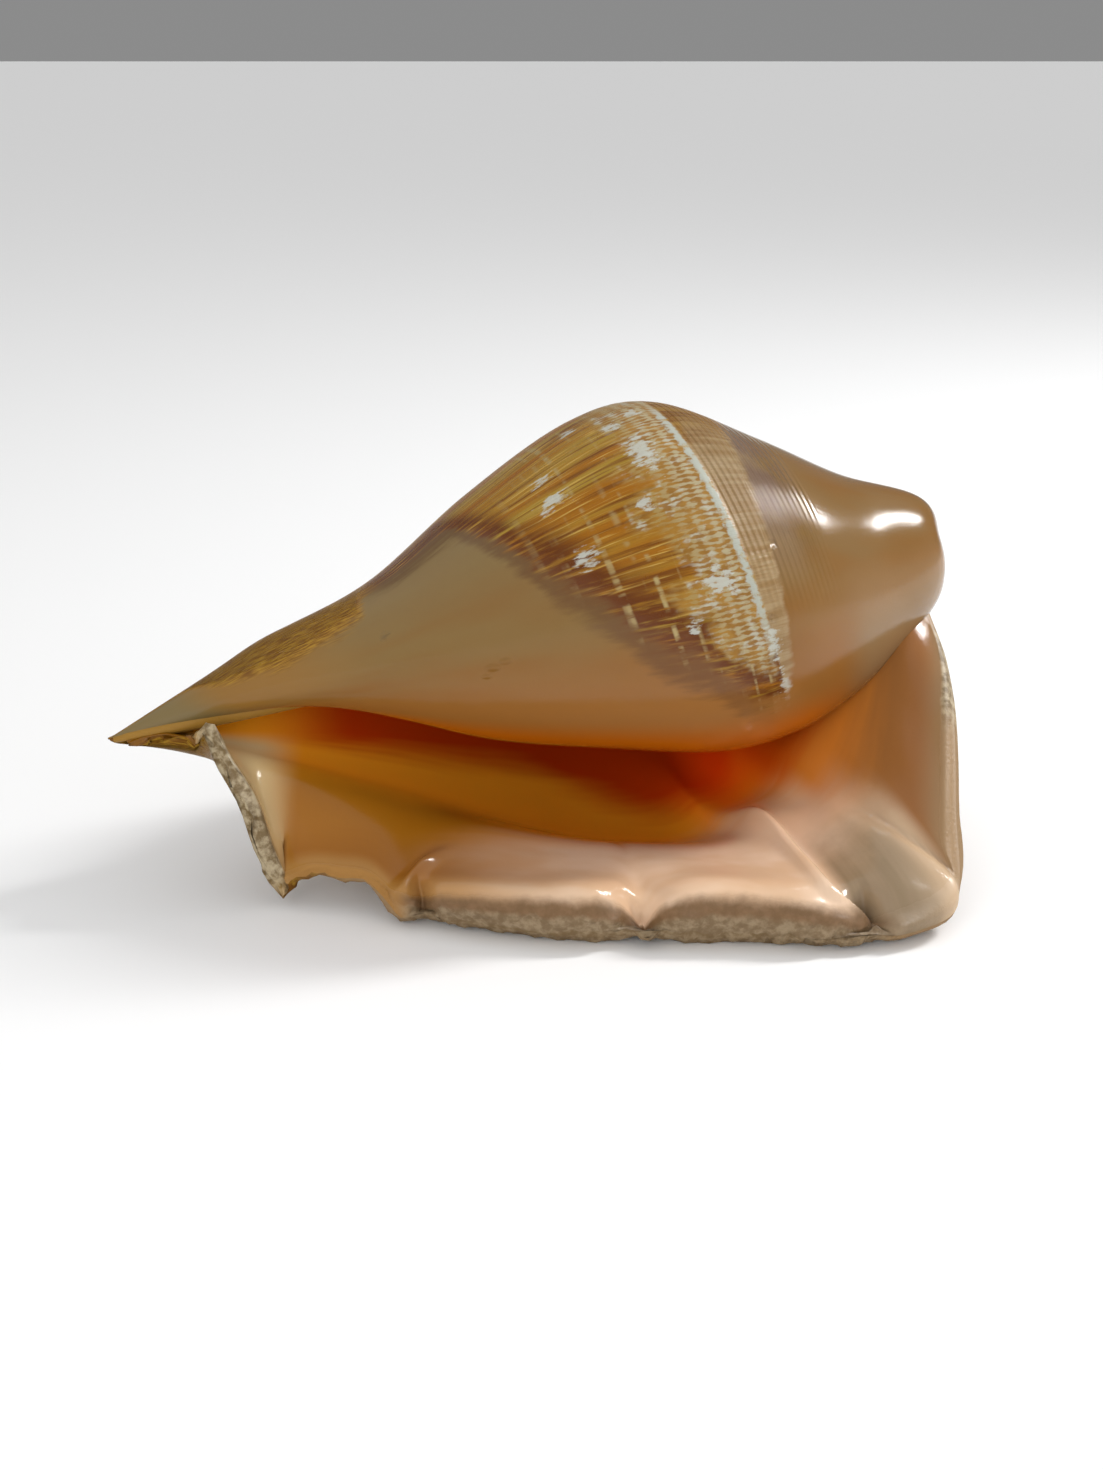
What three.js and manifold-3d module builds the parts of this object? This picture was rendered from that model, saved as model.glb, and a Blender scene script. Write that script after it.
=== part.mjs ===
// A broad-lipped conch shell, grown as one rolled sheet, lying on its flared lip.
//
// The shell is described round its coiling axis. A point has a height (millimetres along
// the axis, from 4 at the canal tip to the apex), a distance from the axis, and a turn:
// the angle travelled by the growing edge, in degrees. 0 faces the aperture side, 90 is up,
// 180 is the back and 270 is the underside. The turn keeps counting from whorl to whorl, so
// the last whorl ends at LIP_START, where the wall leaves the spiral and flares into the lip.
//
// Frame: millimetres, +Z up, +X towards the apex end, the aperture faces -Y. The origin is
// on the resting surface, under the middle of the shell.

import * as THREE from "three";
import { LoftGeometry } from "three/addons/geometries/LoftGeometry.js";
import { mergeVertices } from "three/addons/utils/BufferGeometryUtils.js";
import Module from "manifold-3d";

// Spiral growth.
const APEX_HEIGHT = 201;
const SHOULDER_RADIUS = 48.4;
const SHOULDER_TURN = 110;
const GROWTH_PER_RADIAN = 0.0925;
const SPIRE_SLOPE = 2.688;
const SPIRE_POWER = 0.8;

// The spiral ends and the lip begins at LIP_START. Turns are counted back from there in
// steps. The whorls from APEX_STEP to HOLLOW_STEP are solid, and the later ones are hollow.
const LIP_START = 278;
const TURN_STEP = 10.8;
const APEX_STEP = -124;
const HOLLOW_STEP = -54;
const SOLID_OVERLAP_STEPS = 4;

// Whorls are joined from lengths of at most LONGEST_RUN steps. A length starts with a tenon
// inside the one before it, set in by these distances. WALL_WIDTH is about how wide the
// wall is, from its edge at the apex end to the canal tip.
const LONGEST_RUN = 28;
const TENON_INSETS = [0.12, 0.05];
const WALL_WIDTH = 200;

// Places across the wall, from its edge at the apex end to the canal tip, and along the lip.
const SHARES = [0, 0.05, 0.1, 0.15, 0.2, 0.24, 0.27, 0.3, 0.325, 0.345, 0.41, 0.475, 0.498,
  0.53, 0.58, 0.64, 0.665, 0.685, 0.7, 0.735, 0.775, 0.797, 0.822, 0.842, 0.858, 0.875, 0.9,
  0.945, 1];
const LIP_WAYS = [0.12, 0.26, 0.4, 0.53, 0.65, 0.75, 0.83, 0.89, 0.94, 0.98, 1];

// Wall. It is WALL thick where the shoulder is WALL_RADIUS from the axis, and thinner or
// thicker in proportion, between the two limits. It takes up at most MOST_OF_RADIUS of the
// way to the axis.
const WALL = 3.3;
const WALL_RADIUS = 45;
const THINNEST = 0.6;
const THICKEST = 1.1;
const MOST_OF_RADIUS = 0.85;
const LEAST_WALL = 0.4;

// Towards the lip the wall thickens by this part of itself, over these turns, and fades to
// nothing over these shares, so that the canal stays thin.
const LIP_BASE_GAIN = 0.8;
const LIP_BASE_TURNS = [190, 270];
const LIP_BASE_SHARES = [0.62, 0.85];

// Callus thickens the wall towards the axis by these millimetres, over the spire and over the
// aperture side. Each one grows over its first pair of turns and fades over its second.
const SPIRE_CALLUS = 20;
const SPIRE_CALLUS_TURNS = [[-190, -110], [110, 190]];
const SPIRE_CALLUS_FADES = [0.1, 0.36];
const FRONT_CALLUS = 4.5;
const FRONT_CALLUS_TURNS = [[-130, -80], [20, 80]];
const FRONT_CALLUS_SHARES = [[0.2, 0.36], [0.7, 0.9]];

// The wall keeps outside this part of the columella's radius, so that the two always join.
const COLUMELLA_OVERLAP = 0.55;
const COLUMELLA_SIDES = 12;

// The lip's wall leaves the spiral's thickness behind between the two ways in
// LIP_THICKENING, and faces as the spiral does until LIP_TURNING.
const LIP_THICKENING = [0.45, 0.92];
const LIP_TURNING = 0.22;
const LIP_ARRIVAL = 0.9;
const LIP_FLATNESS = 0.35;
const EDGE_ROUNDING = [0.02, 0.35];

// The middle of the lip's floor swells up by FLOOR_RISE millimetres. The swelling grows and
// fades over these pairs of shares and these pairs of ways.
const FLOOR_RISE = 3;
const FLOOR_SHARES = [[0.3, 0.38], [0.6, 0.68]];
const FLOOR_WAYS = [[0, 0.4], [0.4, 0.9]];

// Small steps for slopes, in turns of a degree and in shares or ways.
const TURN_NUDGE = 2;
const NUDGE = 1e-3;
const SAME_PLACE = 1e-4;

// Axis direction at rest, and the point of the axis that it is placed by.
const AXIS_YAW = 12;
const AXIS_PITCH = 10.4;
const PIVOT_HEIGHT = 141;
const PIVOT = new THREE.Vector3(31.4, 0, 61.7);

// From the point the places below are measured from to the middle of the shell's box.
const TO_MIDDLE = new THREE.Vector3(3.7, 5.3, 0);
const GROUND_SIZE = 400;
const GROUND_DEPTH = 50;

// Young whorls: [height from the shoulder, distance from the axis], in shoulder radii,
// from the suture, over the shoulder, to the canal end.
const YOUNG_WHORL = [
  [0.43, 0.42], [0.42, 0.53], [0.36, 0.66], [0.22, 0.84], [0.04, 0.985], [-0.33, 0.973],
  [-0.78, 0.768], [-1.245, 0.5], [-1.64, 0.3125], [-2.0, 0.16], [-2.39, 0.02],
];
const YOUNG_TURNS = [-1100, -700, -340, -250, -160];

// Last whorl: [height, distance from the axis] in millimetres at each turn. On the aperture
// side the callus carries the surface over the spire to a blunt end.
const LAST_WHORL = [
  { turn: -110, outline: [[196, 0.4], [194, 8], [181, 18], [171, 25.5], [158, 32.5], [141, 33],
    [113, 25.5], [92, 17.5], [76, 10.2], [63, 4], [52, 0.5]] },
  { turn: -70, outline: [[203, 0.4], [198.8, 13], [185.9, 23.3], [174.4, 30.2], [158.6, 35.5],
    [139.8, 35.8], [112.1, 28], [89.5, 20.6], [73, 12.2], [58.8, 4], [47, 0.5]] },
  { turn: -25, outline: [[203.4, 0.4], [199.6, 13.4], [185, 23.5], [171, 32], [155, 38.6],
    [136, 39.2], [108, 31], [84, 21.3], [64, 11.2], [46, 3.2], [32, 0.5]] },
  { turn: 20, outline: [[203.4, 0.4], [199, 13.3], [183, 23], [168, 33.3], [151, 42],
    [131.5, 42.3], [104.5, 33.2], [79, 22.4], [58, 12.6], [37, 5.2], [16, 0.5]] },
  { turn: 110, outline: [[203, 0.4], [198.3, 12], [180.2, 21.6], [162.4, 34.4], [142.5, 47.4],
    [123.8, 47.2], [97, 36.1], [71.9, 22.3], [50.8, 16.1], [28.4, 9], [4, 0.5]] },
  { turn: 155, outline: [[188, 0.4], [184, 11], [172, 23.5], [159, 35], [141.5, 51],
    [120, 51.5], [94, 40.5], [68, 25.5], [46, 16], [25, 8.7], [4, 0.6]] },
  { turn: 200, outline: [[158, 24], [157.5, 30], [155, 36], [148.5, 45], [137, 55.5],
    [115, 54.5], [90, 43], [64, 27.5], [42, 16], [22, 7.8], [4, 0.8]] },
  { turn: 240, outline: [[169, 15], [167.5, 22], [163, 32], [154, 45], [137, 59.5],
    [111, 57], [87, 45], [61, 29], [40, 16.5], [21, 7.5], [5, 1.2]] },
  { turn: 278, outline: [[185, 9], [180, 17], [172, 31], [158, 47], [137, 62.3],
    [109, 57.6], [84, 46], [58, 30], [38, 17], [20, 7], [7, 1.5]] },
];

// Free margin of the lip, from the apex end to the canal tip: the share of the wall's width
// that reaches it, its place, its thickness, and how steeply the wall comes down to it.
const MARGIN = [
  { share: 0, place: [89, 2, 57.5], thickness: 4, droop: 0 },
  { share: 0.05, place: [91.4, -8, 50.5], thickness: 5, droop: 0 },
  { share: 0.1, place: [91.8, -18, 43], thickness: 6, droop: 0 },
  { share: 0.15, place: [91.2, -28, 32.5], thickness: 6.5, droop: 0 },
  { share: 0.2, place: [90.3, -38, 21.5], thickness: 7.5, droop: 0.2 },
  { share: 0.24, place: [90.2, -46.5, 10.5], thickness: 9, droop: 0.4 },
  { share: 0.27, place: [88, -52.8, 5.5], thickness: 10, droop: 0.5 },
  { share: 0.3, place: [79.5, -57.8, 3.8], thickness: 10, droop: 0.6 },
  { share: 0.325, place: [72, -58.8, 3.4], thickness: 8.5, droop: 0.6 },
  { share: 0.345, place: [66.5, -62, 3.6], thickness: 11, droop: 0.6 },
  { share: 0.41, place: [48, -59.8, 3.8], thickness: 12.5, droop: 0.6 },
  { share: 0.475, place: [28, -59.3, 3.8], thickness: 12, droop: 0.6 },
  { share: 0.498, place: [20.5, -58.5, 3.4], thickness: 8.5, droop: 0.6 },
  { share: 0.53, place: [12, -59.2, 3.8], thickness: 12, droop: 0.6 },
  { share: 0.58, place: [-3, -57.5, 3.8], thickness: 12.5, droop: 0.6 },
  { share: 0.64, place: [-21, -52.5, 3.8], thickness: 11.5, droop: 0.6 },
  { share: 0.665, place: [-29, -49, 3.6], thickness: 8.5, droop: 0.5 },
  { share: 0.685, place: [-35, -48.5, 4], thickness: 8, droop: 0.4 },
  { share: 0.7, place: [-39.5, -44, 7.5], thickness: 5, droop: 0.3 },
  { share: 0.735, place: [-48, -40.5, 9], thickness: 4, droop: 0.2 },
  { share: 0.775, place: [-57, -38.5, 8], thickness: 4, droop: 0.2 },
  { share: 0.797, place: [-61.3, -38, 4], thickness: 4, droop: 0.2 },
  { share: 0.822, place: [-65, -39.5, 14], thickness: 4.5, droop: 0 },
  { share: 0.842, place: [-68, -40.8, 27], thickness: 4.5, droop: 0 },
  { share: 0.858, place: [-73, -38.5, 35.5], thickness: 4, droop: -0.1 },
  { share: 0.875, place: [-76.5, -34.5, 42], thickness: 3.5, droop: -0.3 },
  { share: 0.9, place: [-79.5, -30.5, 37.8], thickness: 3, droop: -0.1 },
  { share: 0.945, place: [-88, -28.2, 37.3], thickness: 3, droop: 0 },
  { share: 1, place: [-96, -28, 35.9], thickness: 2, droop: 0 },
];

// Columella: [height, radius] of the pillar that the whorls wind round.
const COLUMELLA = [
  [4.8, 0.7], [20, 2], [60, 3.2], [100, 5], [140, 6.5], [175, 6.5], [188, 4.4], [193.5, 2.6],
  [195.2, 0.8],
];

const radians = THREE.MathUtils.degToRad;

function smooth(from, to, value) {
  return THREE.MathUtils.smoothstep(value, from, to);
}

// A smooth curve through rows of numbers placed at `places`, read at one place.
function curveThrough(places, rows, at) {
  const last = places.length - 1;
  const place = Math.min(Math.max(at, places[0]), places[last]);
  let i = 0;
  while (i < last - 1 && place >= places[i + 1]) i += 1;
  const slope = (k, c) => (rows[k + 1][c] - rows[k][c]) / (places[k + 1] - places[k]);
  const tangent = (k, c) => {
    if (k === 0) return slope(0, c);
    if (k === last) return slope(last - 1, c);
    const before = places[k] - places[k - 1];
    const after = places[k + 1] - places[k];
    return (slope(k, c) * before + slope(k - 1, c) * after) / (before + after);
  };
  const span = places[i + 1] - places[i];
  const u = (place - places[i]) / span;
  return rows[i].map((value, c) =>
    (2 * u ** 3 - 3 * u ** 2 + 1) * value +
    (u ** 3 - 2 * u ** 2 + u) * span * tangent(i, c) +
    (3 * u ** 2 - 2 * u ** 3) * rows[i + 1][c] +
    (u ** 3 - u ** 2) * span * tangent(i + 1, c));
}

function shoulderRadius(turn) {
  return SHOULDER_RADIUS * Math.exp(GROWTH_PER_RADIAN * radians(turn - SHOULDER_TURN));
}

function shoulderHeight(turn) {
  return APEX_HEIGHT - SPIRE_SLOPE * shoulderRadius(turn) ** SPIRE_POWER;
}

// Every station as one row of numbers in shoulder radii, so that stations can be blended.
const STATION_TURNS = [...YOUNG_TURNS, ...LAST_WHORL.map((station) => station.turn)];
const STATION_ROWS = [
  ...YOUNG_TURNS.map(() => YOUNG_WHORL.flat()),
  ...LAST_WHORL.map(({ turn, outline }) => outline.flatMap(([height, distance]) => [
    (height - shoulderHeight(turn)) / shoulderRadius(turn),
    distance / shoulderRadius(turn),
  ])),
];
const OUTLINE_SHARES = YOUNG_WHORL.map((_, i) => i / (YOUNG_WHORL.length - 1));

// Outer outline of the whorl at one turn, as [height, distance] pairs in shoulder radii.
function outlineAt(turn) {
  const row = curveThrough(STATION_TURNS, STATION_ROWS, turn);
  return YOUNG_WHORL.map((_, i) => [row[2 * i], row[2 * i + 1]]);
}

// Inside this distance from the axis there is only columella.
function columellaCore(height) {
  const [radius] = curveThrough(
    COLUMELLA.map((row) => row[0]), COLUMELLA.map((row) => [row[1]]), height);
  return radius * COLUMELLA_OVERLAP;
}

function outerPoint(turn, outline, share) {
  const [height, distance] = curveThrough(OUTLINE_SHARES, outline, share);
  const radius = shoulderRadius(turn);
  const outerHeight = height * radius + shoulderHeight(turn);
  return [outerHeight, Math.max(distance * radius, columellaCore(outerHeight) + LEAST_WALL)];
}

function wallThickness(turn, share) {
  const usual = THREE.MathUtils.clamp(shoulderRadius(turn) / WALL_RADIUS, THINNEST, THICKEST);
  const nearLip = smooth(...LIP_BASE_TURNS, turn) * (1 - smooth(...LIP_BASE_SHARES, share));
  return WALL * usual * (1 + LIP_BASE_GAIN * nearLip);
}

// Rises over the first pair of values and falls over the second.
function riseAndFall([rising, falling], value) {
  return smooth(...rising, value) - smooth(...falling, value);
}

function callusDepth(turn, share) {
  const overSpire = riseAndFall(SPIRE_CALLUS_TURNS, turn)
    * (1 - smooth(...SPIRE_CALLUS_FADES, share));
  const onFront = riseAndFall(FRONT_CALLUS_TURNS, turn)
    * riseAndFall(FRONT_CALLUS_SHARES, share);
  return SPIRE_CALLUS * overSpire + FRONT_CALLUS * onFront;
}

// The wall at one turn and share: its outer, middle and inner points as [height, distance],
// with both faces moved into the wall by the inset. The inner surface never comes nearer the
// axis than the columella's core.
function wallAt(turn, outline, share, inset) {
  const outer = outerPoint(turn, outline, share);
  const before = outerPoint(turn, outline, Math.max(share - NUDGE, 0));
  const after = outerPoint(turn, outline, Math.min(share + NUDGE, 1));
  const along = [after[0] - before[0], after[1] - before[1]];
  const length = Math.hypot(along[0], along[1]);
  const thickness = Math.min(wallThickness(turn, share), outer[1] * MOST_OF_RADIUS);
  const inwards = (depth, callus) => {
    const height = outer[0] - (along[1] / length) * depth;
    const distance = outer[1] + (along[0] / length) * depth - callus;
    return [height, Math.max(distance, columellaCore(height) + inset)];
  };
  return {
    outer: inwards(inset, 0),
    middle: inwards(thickness / 2, 0),
    inner: inwards(thickness - inset, callusDepth(turn, share)),
    thickness,
  };
}

const tilt = new THREE.Matrix4()
  .makeRotationZ(radians(AXIS_YAW))
  .multiply(new THREE.Matrix4().makeRotationY(-radians(AXIS_PITCH)));
const alongAxis = new THREE.Vector3(1, 0, 0).transformDirection(tilt);
const upFromAxis = new THREE.Vector3(0, 0, 1).transformDirection(tilt);
const frontOfAxis = new THREE.Vector3(0, -1, 0).transformDirection(tilt);

function toSpace(height, distance, turn) {
  return PIVOT.clone()
    .addScaledVector(alongAxis, height - PIVOT_HEIGHT)
    .addScaledVector(frontOfAxis, distance * Math.cos(radians(turn)))
    .addScaledVector(upFromAxis, distance * Math.sin(radians(turn)));
}

function spiralWall(turn, outline, share, inset = 0) {
  const wall = wallAt(turn, outline, share, inset);
  return {
    outer: toSpace(...wall.outer, turn),
    middle: toSpace(...wall.middle, turn),
    inner: toSpace(...wall.inner, turn),
    thickness: wall.thickness,
  };
}

function ring(outerPoints, innerPoints) {
  return [...innerPoints, ...outerPoints.reverse()];
}

// Shares drawn in from both ends of the wall by an inset in millimetres.
function insetShares(shares, inset) {
  const least = inset / WALL_WIDTH;
  return shares.map((share) => THREE.MathUtils.clamp(share, least, 1 - least));
}

function hollowSection(turn, inset) {
  const outline = outlineAt(turn);
  const walls = insetShares(SHARES, inset)
    .map((share) => spiralWall(turn, outline, share, inset));
  return ring(walls.map((wall) => wall.outer), walls.map((wall) => wall.inner));
}

// A section of the solid early whorls runs from the outer surface in to the columella.
function solidSection(turn, inset) {
  const outline = outlineAt(turn);
  const points = insetShares(SHARES.filter((_, i) => i % 2 === 0), inset)
    .map((share) => outerPoint(turn, outline, share));
  return ring(
    points.map(([height, distance]) => toSpace(height, distance - inset, turn)),
    points.map(([height]) => toSpace(height, columellaCore(height) + inset, turn)));
}

// A stretch of whorl is built in lengths under one full turn, which don't meet themselves.
// Each length but the first begins inside the one before it, set in from its faces.
function lengths(first, last, stride, sectionAt) {
  const most = Math.floor(LONGEST_RUN / stride) * stride;
  const built = [];
  for (let from = first; from < last; from += most) {
    const to = Math.min(from + most, last);
    const begins = from === first ? 0 : 1;
    const sections = [];
    for (let step = from - begins * stride; step <= to; step += stride) {
      const inset = begins ? TENON_INSETS[(step - from) / stride + 1] ?? 0 : 0;
      sections.push(sectionAt(LIP_START + step * TURN_STEP, inset));
    }
    built.push(sections);
  }
  return built;
}

// The lip carries the wall from LIP_START out to the margin, on a curve that leaves along
// the spiral and arrives with the margin's droop.
function lipStrand(share) {
  const start = spiralWall(LIP_START, outlineAt(LIP_START), share);
  const earlier = LIP_START - TURN_NUDGE;
  const before = spiralWall(earlier, outlineAt(earlier), share);
  const leaving = start.middle.clone().sub(before.middle).normalize();
  const rows = MARGIN.map(({ place, thickness, droop }) => [...place, thickness, droop]);
  const shares = MARGIN.map((row) => row.share);
  const [x, y, z, thickness, droop] = curveThrough(shares, rows, share);
  const end = new THREE.Vector3(x, y, z);
  const reach = end.clone().sub(start.middle);
  const length = reach.length();
  const arriving = reach.multiply(new THREE.Vector3(1, 1, LIP_FLATNESS)).normalize();
  arriving.z -= droop;
  arriving.normalize();
  const outward = start.outer.clone().sub(start.middle).normalize();
  const rise = FLOOR_RISE * riseAndFall(FLOOR_SHARES, share);
  return { start, end, leaving, arriving, length, outward, thickness, rise };
}

// The middle of the lip's wall on a strand, from the spiral at u = 0 to the margin at 1.
function lipMiddle({ start, end, leaving, arriving, length, rise }, u) {
  return new THREE.Vector3(0, 0, rise * riseAndFall(FLOOR_WAYS, u))
    .addScaledVector(start.middle, 2 * u ** 3 - 3 * u ** 2 + 1)
    .addScaledVector(leaving, (u ** 3 - 2 * u ** 2 + u) * length)
    .addScaledVector(end, 3 * u ** 2 - 2 * u ** 3)
    .addScaledVector(arriving, (u ** 3 - u ** 2) * length * LIP_ARRIVAL);
}

function lipWall(share, way) {
  const strand = lipStrand(share);
  const middle = lipMiddle(strand, way);
  const onward = lipMiddle(strand, Math.min(way + NUDGE, 1))
    .sub(lipMiddle(strand, Math.max(way - NUDGE, 0)));
  const across = lipMiddle(lipStrand(Math.min(share + NUDGE, 1)), way)
    .sub(lipMiddle(lipStrand(Math.max(share - NUDGE, 0)), way));
  const outward = onward.cross(across).normalize();
  outward.lerp(strand.outward, 1 - smooth(0, LIP_TURNING, way)).normalize();
  const rounding = THREE.MathUtils.clamp(strand.thickness / 2 / strand.length, ...EDGE_ROUNDING);
  const intoEdge = Math.max(way - 1 + rounding, 0) / rounding;
  const thickening = smooth(...LIP_THICKENING, way);
  const full = THREE.MathUtils.lerp(strand.start.thickness, strand.thickness, thickening);
  const half = (full / 2) * Math.sqrt(Math.max(1 - intoEdge ** 2, 0));
  return {
    outer: middle.clone().addScaledVector(outward, half),
    inner: middle.clone().addScaledVector(outward, -half),
  };
}

function lipSections() {
  return LIP_WAYS.map((way) => {
    const walls = SHARES.map((share) => lipWall(share, way));
    return ring(walls.map((wall) => wall.outer), walls.map((wall) => wall.inner));
  });
}

const wasm = await Module();
wasm.setup();

function solidFrom(geometry) {
  const bare = geometry.index ? geometry.toNonIndexed() : geometry.clone();
  bare.deleteAttribute("normal");
  bare.deleteAttribute("uv");
  const merged = mergeVertices(bare, SAME_PLACE);
  const corners = merged.index.array;
  const triangles = [];
  for (let i = 0; i < corners.length; i += 3) {
    const [a, b, c] = corners.subarray(i, i + 3);
    if (a !== b && b !== c && c !== a) triangles.push(a, b, c);
  }
  return new wasm.Manifold(new wasm.Mesh({
    numProp: 3,
    vertProperties: merged.attributes.position.array,
    triVerts: new Uint32Array(triangles),
  }));
}

// A solid skinned over closed sections. The lip's last section closes on the margin line.
function loftedSolid(sections, capEnd = true) {
  return solidFrom(new LoftGeometry(sections, { capStart: true, capEnd }));
}

function columellaSolid() {
  const outline = [
    new THREE.Vector2(0, COLUMELLA[0][0]),
    ...COLUMELLA.map(([height, radius]) => new THREE.Vector2(radius, height)),
    new THREE.Vector2(0, COLUMELLA[COLUMELLA.length - 1][0]),
  ];
  const lathe = new THREE.LatheGeometry(outline, COLUMELLA_SIDES);
  const upright = new THREE.Matrix4().makeBasis(frontOfAxis, alongAxis, upFromAxis);
  const foot = toSpace(0, 0, 0);
  lathe.applyMatrix4(upright.setPosition(foot));
  return solidFrom(lathe);
}

function geometryFrom(solid) {
  const { vertProperties, triVerts } = solid.getMesh();
  const geometry = new THREE.BufferGeometry();
  geometry.setAttribute("position", new THREE.BufferAttribute(vertProperties, 3));
  geometry.setIndex(new THREE.BufferAttribute(triVerts, 1));
  geometry.computeVertexNormals();
  return geometry;
}

// A join can leave specks, which are dropped.
function largestBody(solid) {
  return solid.decompose().reduce((largest, body) =>
    (body.volume() > largest.volume() ? body : largest));
}

function buildShell() {
  const solids = lengths(APEX_STEP, HOLLOW_STEP + SOLID_OVERLAP_STEPS, 2, solidSection);
  const hollows = lengths(HOLLOW_STEP, 0, 1, hollowSection);
  const lip = lipSections();
  const pieces = [
    ...solids.map((sections) => loftedSolid(sections)),
    ...hollows.slice(0, -1).map((sections) => loftedSolid(sections)),
    loftedSolid([...hollows[hollows.length - 1], ...lip], false),
    columellaSolid(),
  ];
  const grown = largestBody(pieces.reduce((whole, piece) => whole.add(piece)));
  return grown.subtract(restingGround());
}

// Everything below the resting surface, which leaves the worn flats the shell lies on.
function restingGround() {
  const block = new THREE.BoxGeometry(GROUND_SIZE, GROUND_SIZE, GROUND_DEPTH);
  return solidFrom(block.translate(0, 0, -GROUND_DEPTH / 2));
}

const shell = new THREE.Mesh(
  geometryFrom(buildShell()),
  new THREE.MeshStandardMaterial({ color: 0xc9a173, roughness: 0.3, metalness: 0 }));
shell.name = "shell";
shell.position.copy(TO_MIDDLE);

const part = new THREE.Group();
part.add(shell);

export default part;
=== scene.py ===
"""A broad-lipped conch shell, lying on its flared lip.

The shell is one rolled sheet, described as in the part it stands for. A point has a height
along the coiling axis (millimetres from the canal tip), a distance from that axis, and a
turn: the angle travelled by the growing edge, in degrees. 0 faces the aperture side, 90 is
up, 180 is the back and 270 is the underside. The wall's width is measured in shares, from
its edge at the apex end (0) to the canal tip (1). The lip is measured in ways, from the
spiral (0) to its free margin (1).
"""

import math

import bpy
import numpy as np
from mathutils import Matrix, Vector, noise


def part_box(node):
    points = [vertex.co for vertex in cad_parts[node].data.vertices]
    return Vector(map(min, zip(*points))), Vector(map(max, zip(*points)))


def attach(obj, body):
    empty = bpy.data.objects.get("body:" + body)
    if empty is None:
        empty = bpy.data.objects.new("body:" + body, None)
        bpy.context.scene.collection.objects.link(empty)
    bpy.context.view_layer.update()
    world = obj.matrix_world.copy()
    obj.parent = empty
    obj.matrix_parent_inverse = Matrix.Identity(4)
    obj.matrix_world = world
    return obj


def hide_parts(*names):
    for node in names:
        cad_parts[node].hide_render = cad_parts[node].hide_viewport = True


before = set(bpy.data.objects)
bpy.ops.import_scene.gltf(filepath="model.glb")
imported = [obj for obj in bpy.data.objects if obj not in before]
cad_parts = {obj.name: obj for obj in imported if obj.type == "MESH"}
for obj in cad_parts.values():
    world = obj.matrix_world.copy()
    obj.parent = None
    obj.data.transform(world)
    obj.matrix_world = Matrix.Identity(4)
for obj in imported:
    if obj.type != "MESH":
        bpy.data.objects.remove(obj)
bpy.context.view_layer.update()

# --- Shape: the same driving sizes as the CAD part, in millimetres and degrees ---

APEX_HEIGHT = 201
SHOULDER_RADIUS = 48.4
SHOULDER_TURN = 110
GROWTH_PER_RADIAN = 0.0925
SPIRE_SLOPE = 2.688
SPIRE_POWER = 0.8
LIP_START = 278
SPIRE_START = -1340
SHEET_START = -80

WALL = 3.3
WALL_RADIUS = 45
THINNEST = 0.6
THICKEST = 1.1
MOST_OF_RADIUS = 0.85
LEAST_WALL = 0.4
COLUMELLA_OVERLAP = 0.55

# The wall is thicker where the lip starts, by this share of itself, over these turns and shares.
LIP_BASE_GAIN = 0.8
LIP_BASE_TURNS = (190, 270)
LIP_BASE_SHARES = (0.62, 0.85)

# Callus laid down inside the wall, in millimetres, at the spire and on the aperture's side. A
# pair of spans says where it grows and where it fades.
SPIRE_CALLUS = 20
SPIRE_CALLUS_TURNS = ((-190, -110), (110, 190))
SPIRE_CALLUS_FADES = (0.1, 0.36)
FRONT_CALLUS = 4.5
FRONT_CALLUS_TURNS = ((-130, -80), (20, 80))
FRONT_CALLUS_SHARES = ((0.2, 0.36), (0.7, 0.9))

LIP_THICKENING = (0.45, 0.92)
LIP_TURNING = 0.22
LIP_ARRIVAL = 0.9
LIP_FLATNESS = 0.35
EDGE_ROUNDING = (0.02, 0.35)
EDGE_SQUARENESS = 2.6

AXIS_YAW = 12
AXIS_PITCH = 10.4
PIVOT_HEIGHT = 141
PIVOT = np.array([31.4, 0, 61.7])

TURN_NUDGE = 2
NUDGE = 1e-3
MM = 0.001

# Young whorls: (height from the shoulder, distance from the axis), in shoulder radii.
YOUNG_WHORL = [
    (0.43, 0.42), (0.42, 0.53), (0.36, 0.66), (0.22, 0.84), (0.04, 0.985), (-0.33, 0.973),
    (-0.78, 0.768), (-1.245, 0.5), (-1.64, 0.3125), (-2.0, 0.16), (-2.39, 0.02),
]
YOUNG_TURNS = [-1100, -700, -340, -250, -160]

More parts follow.
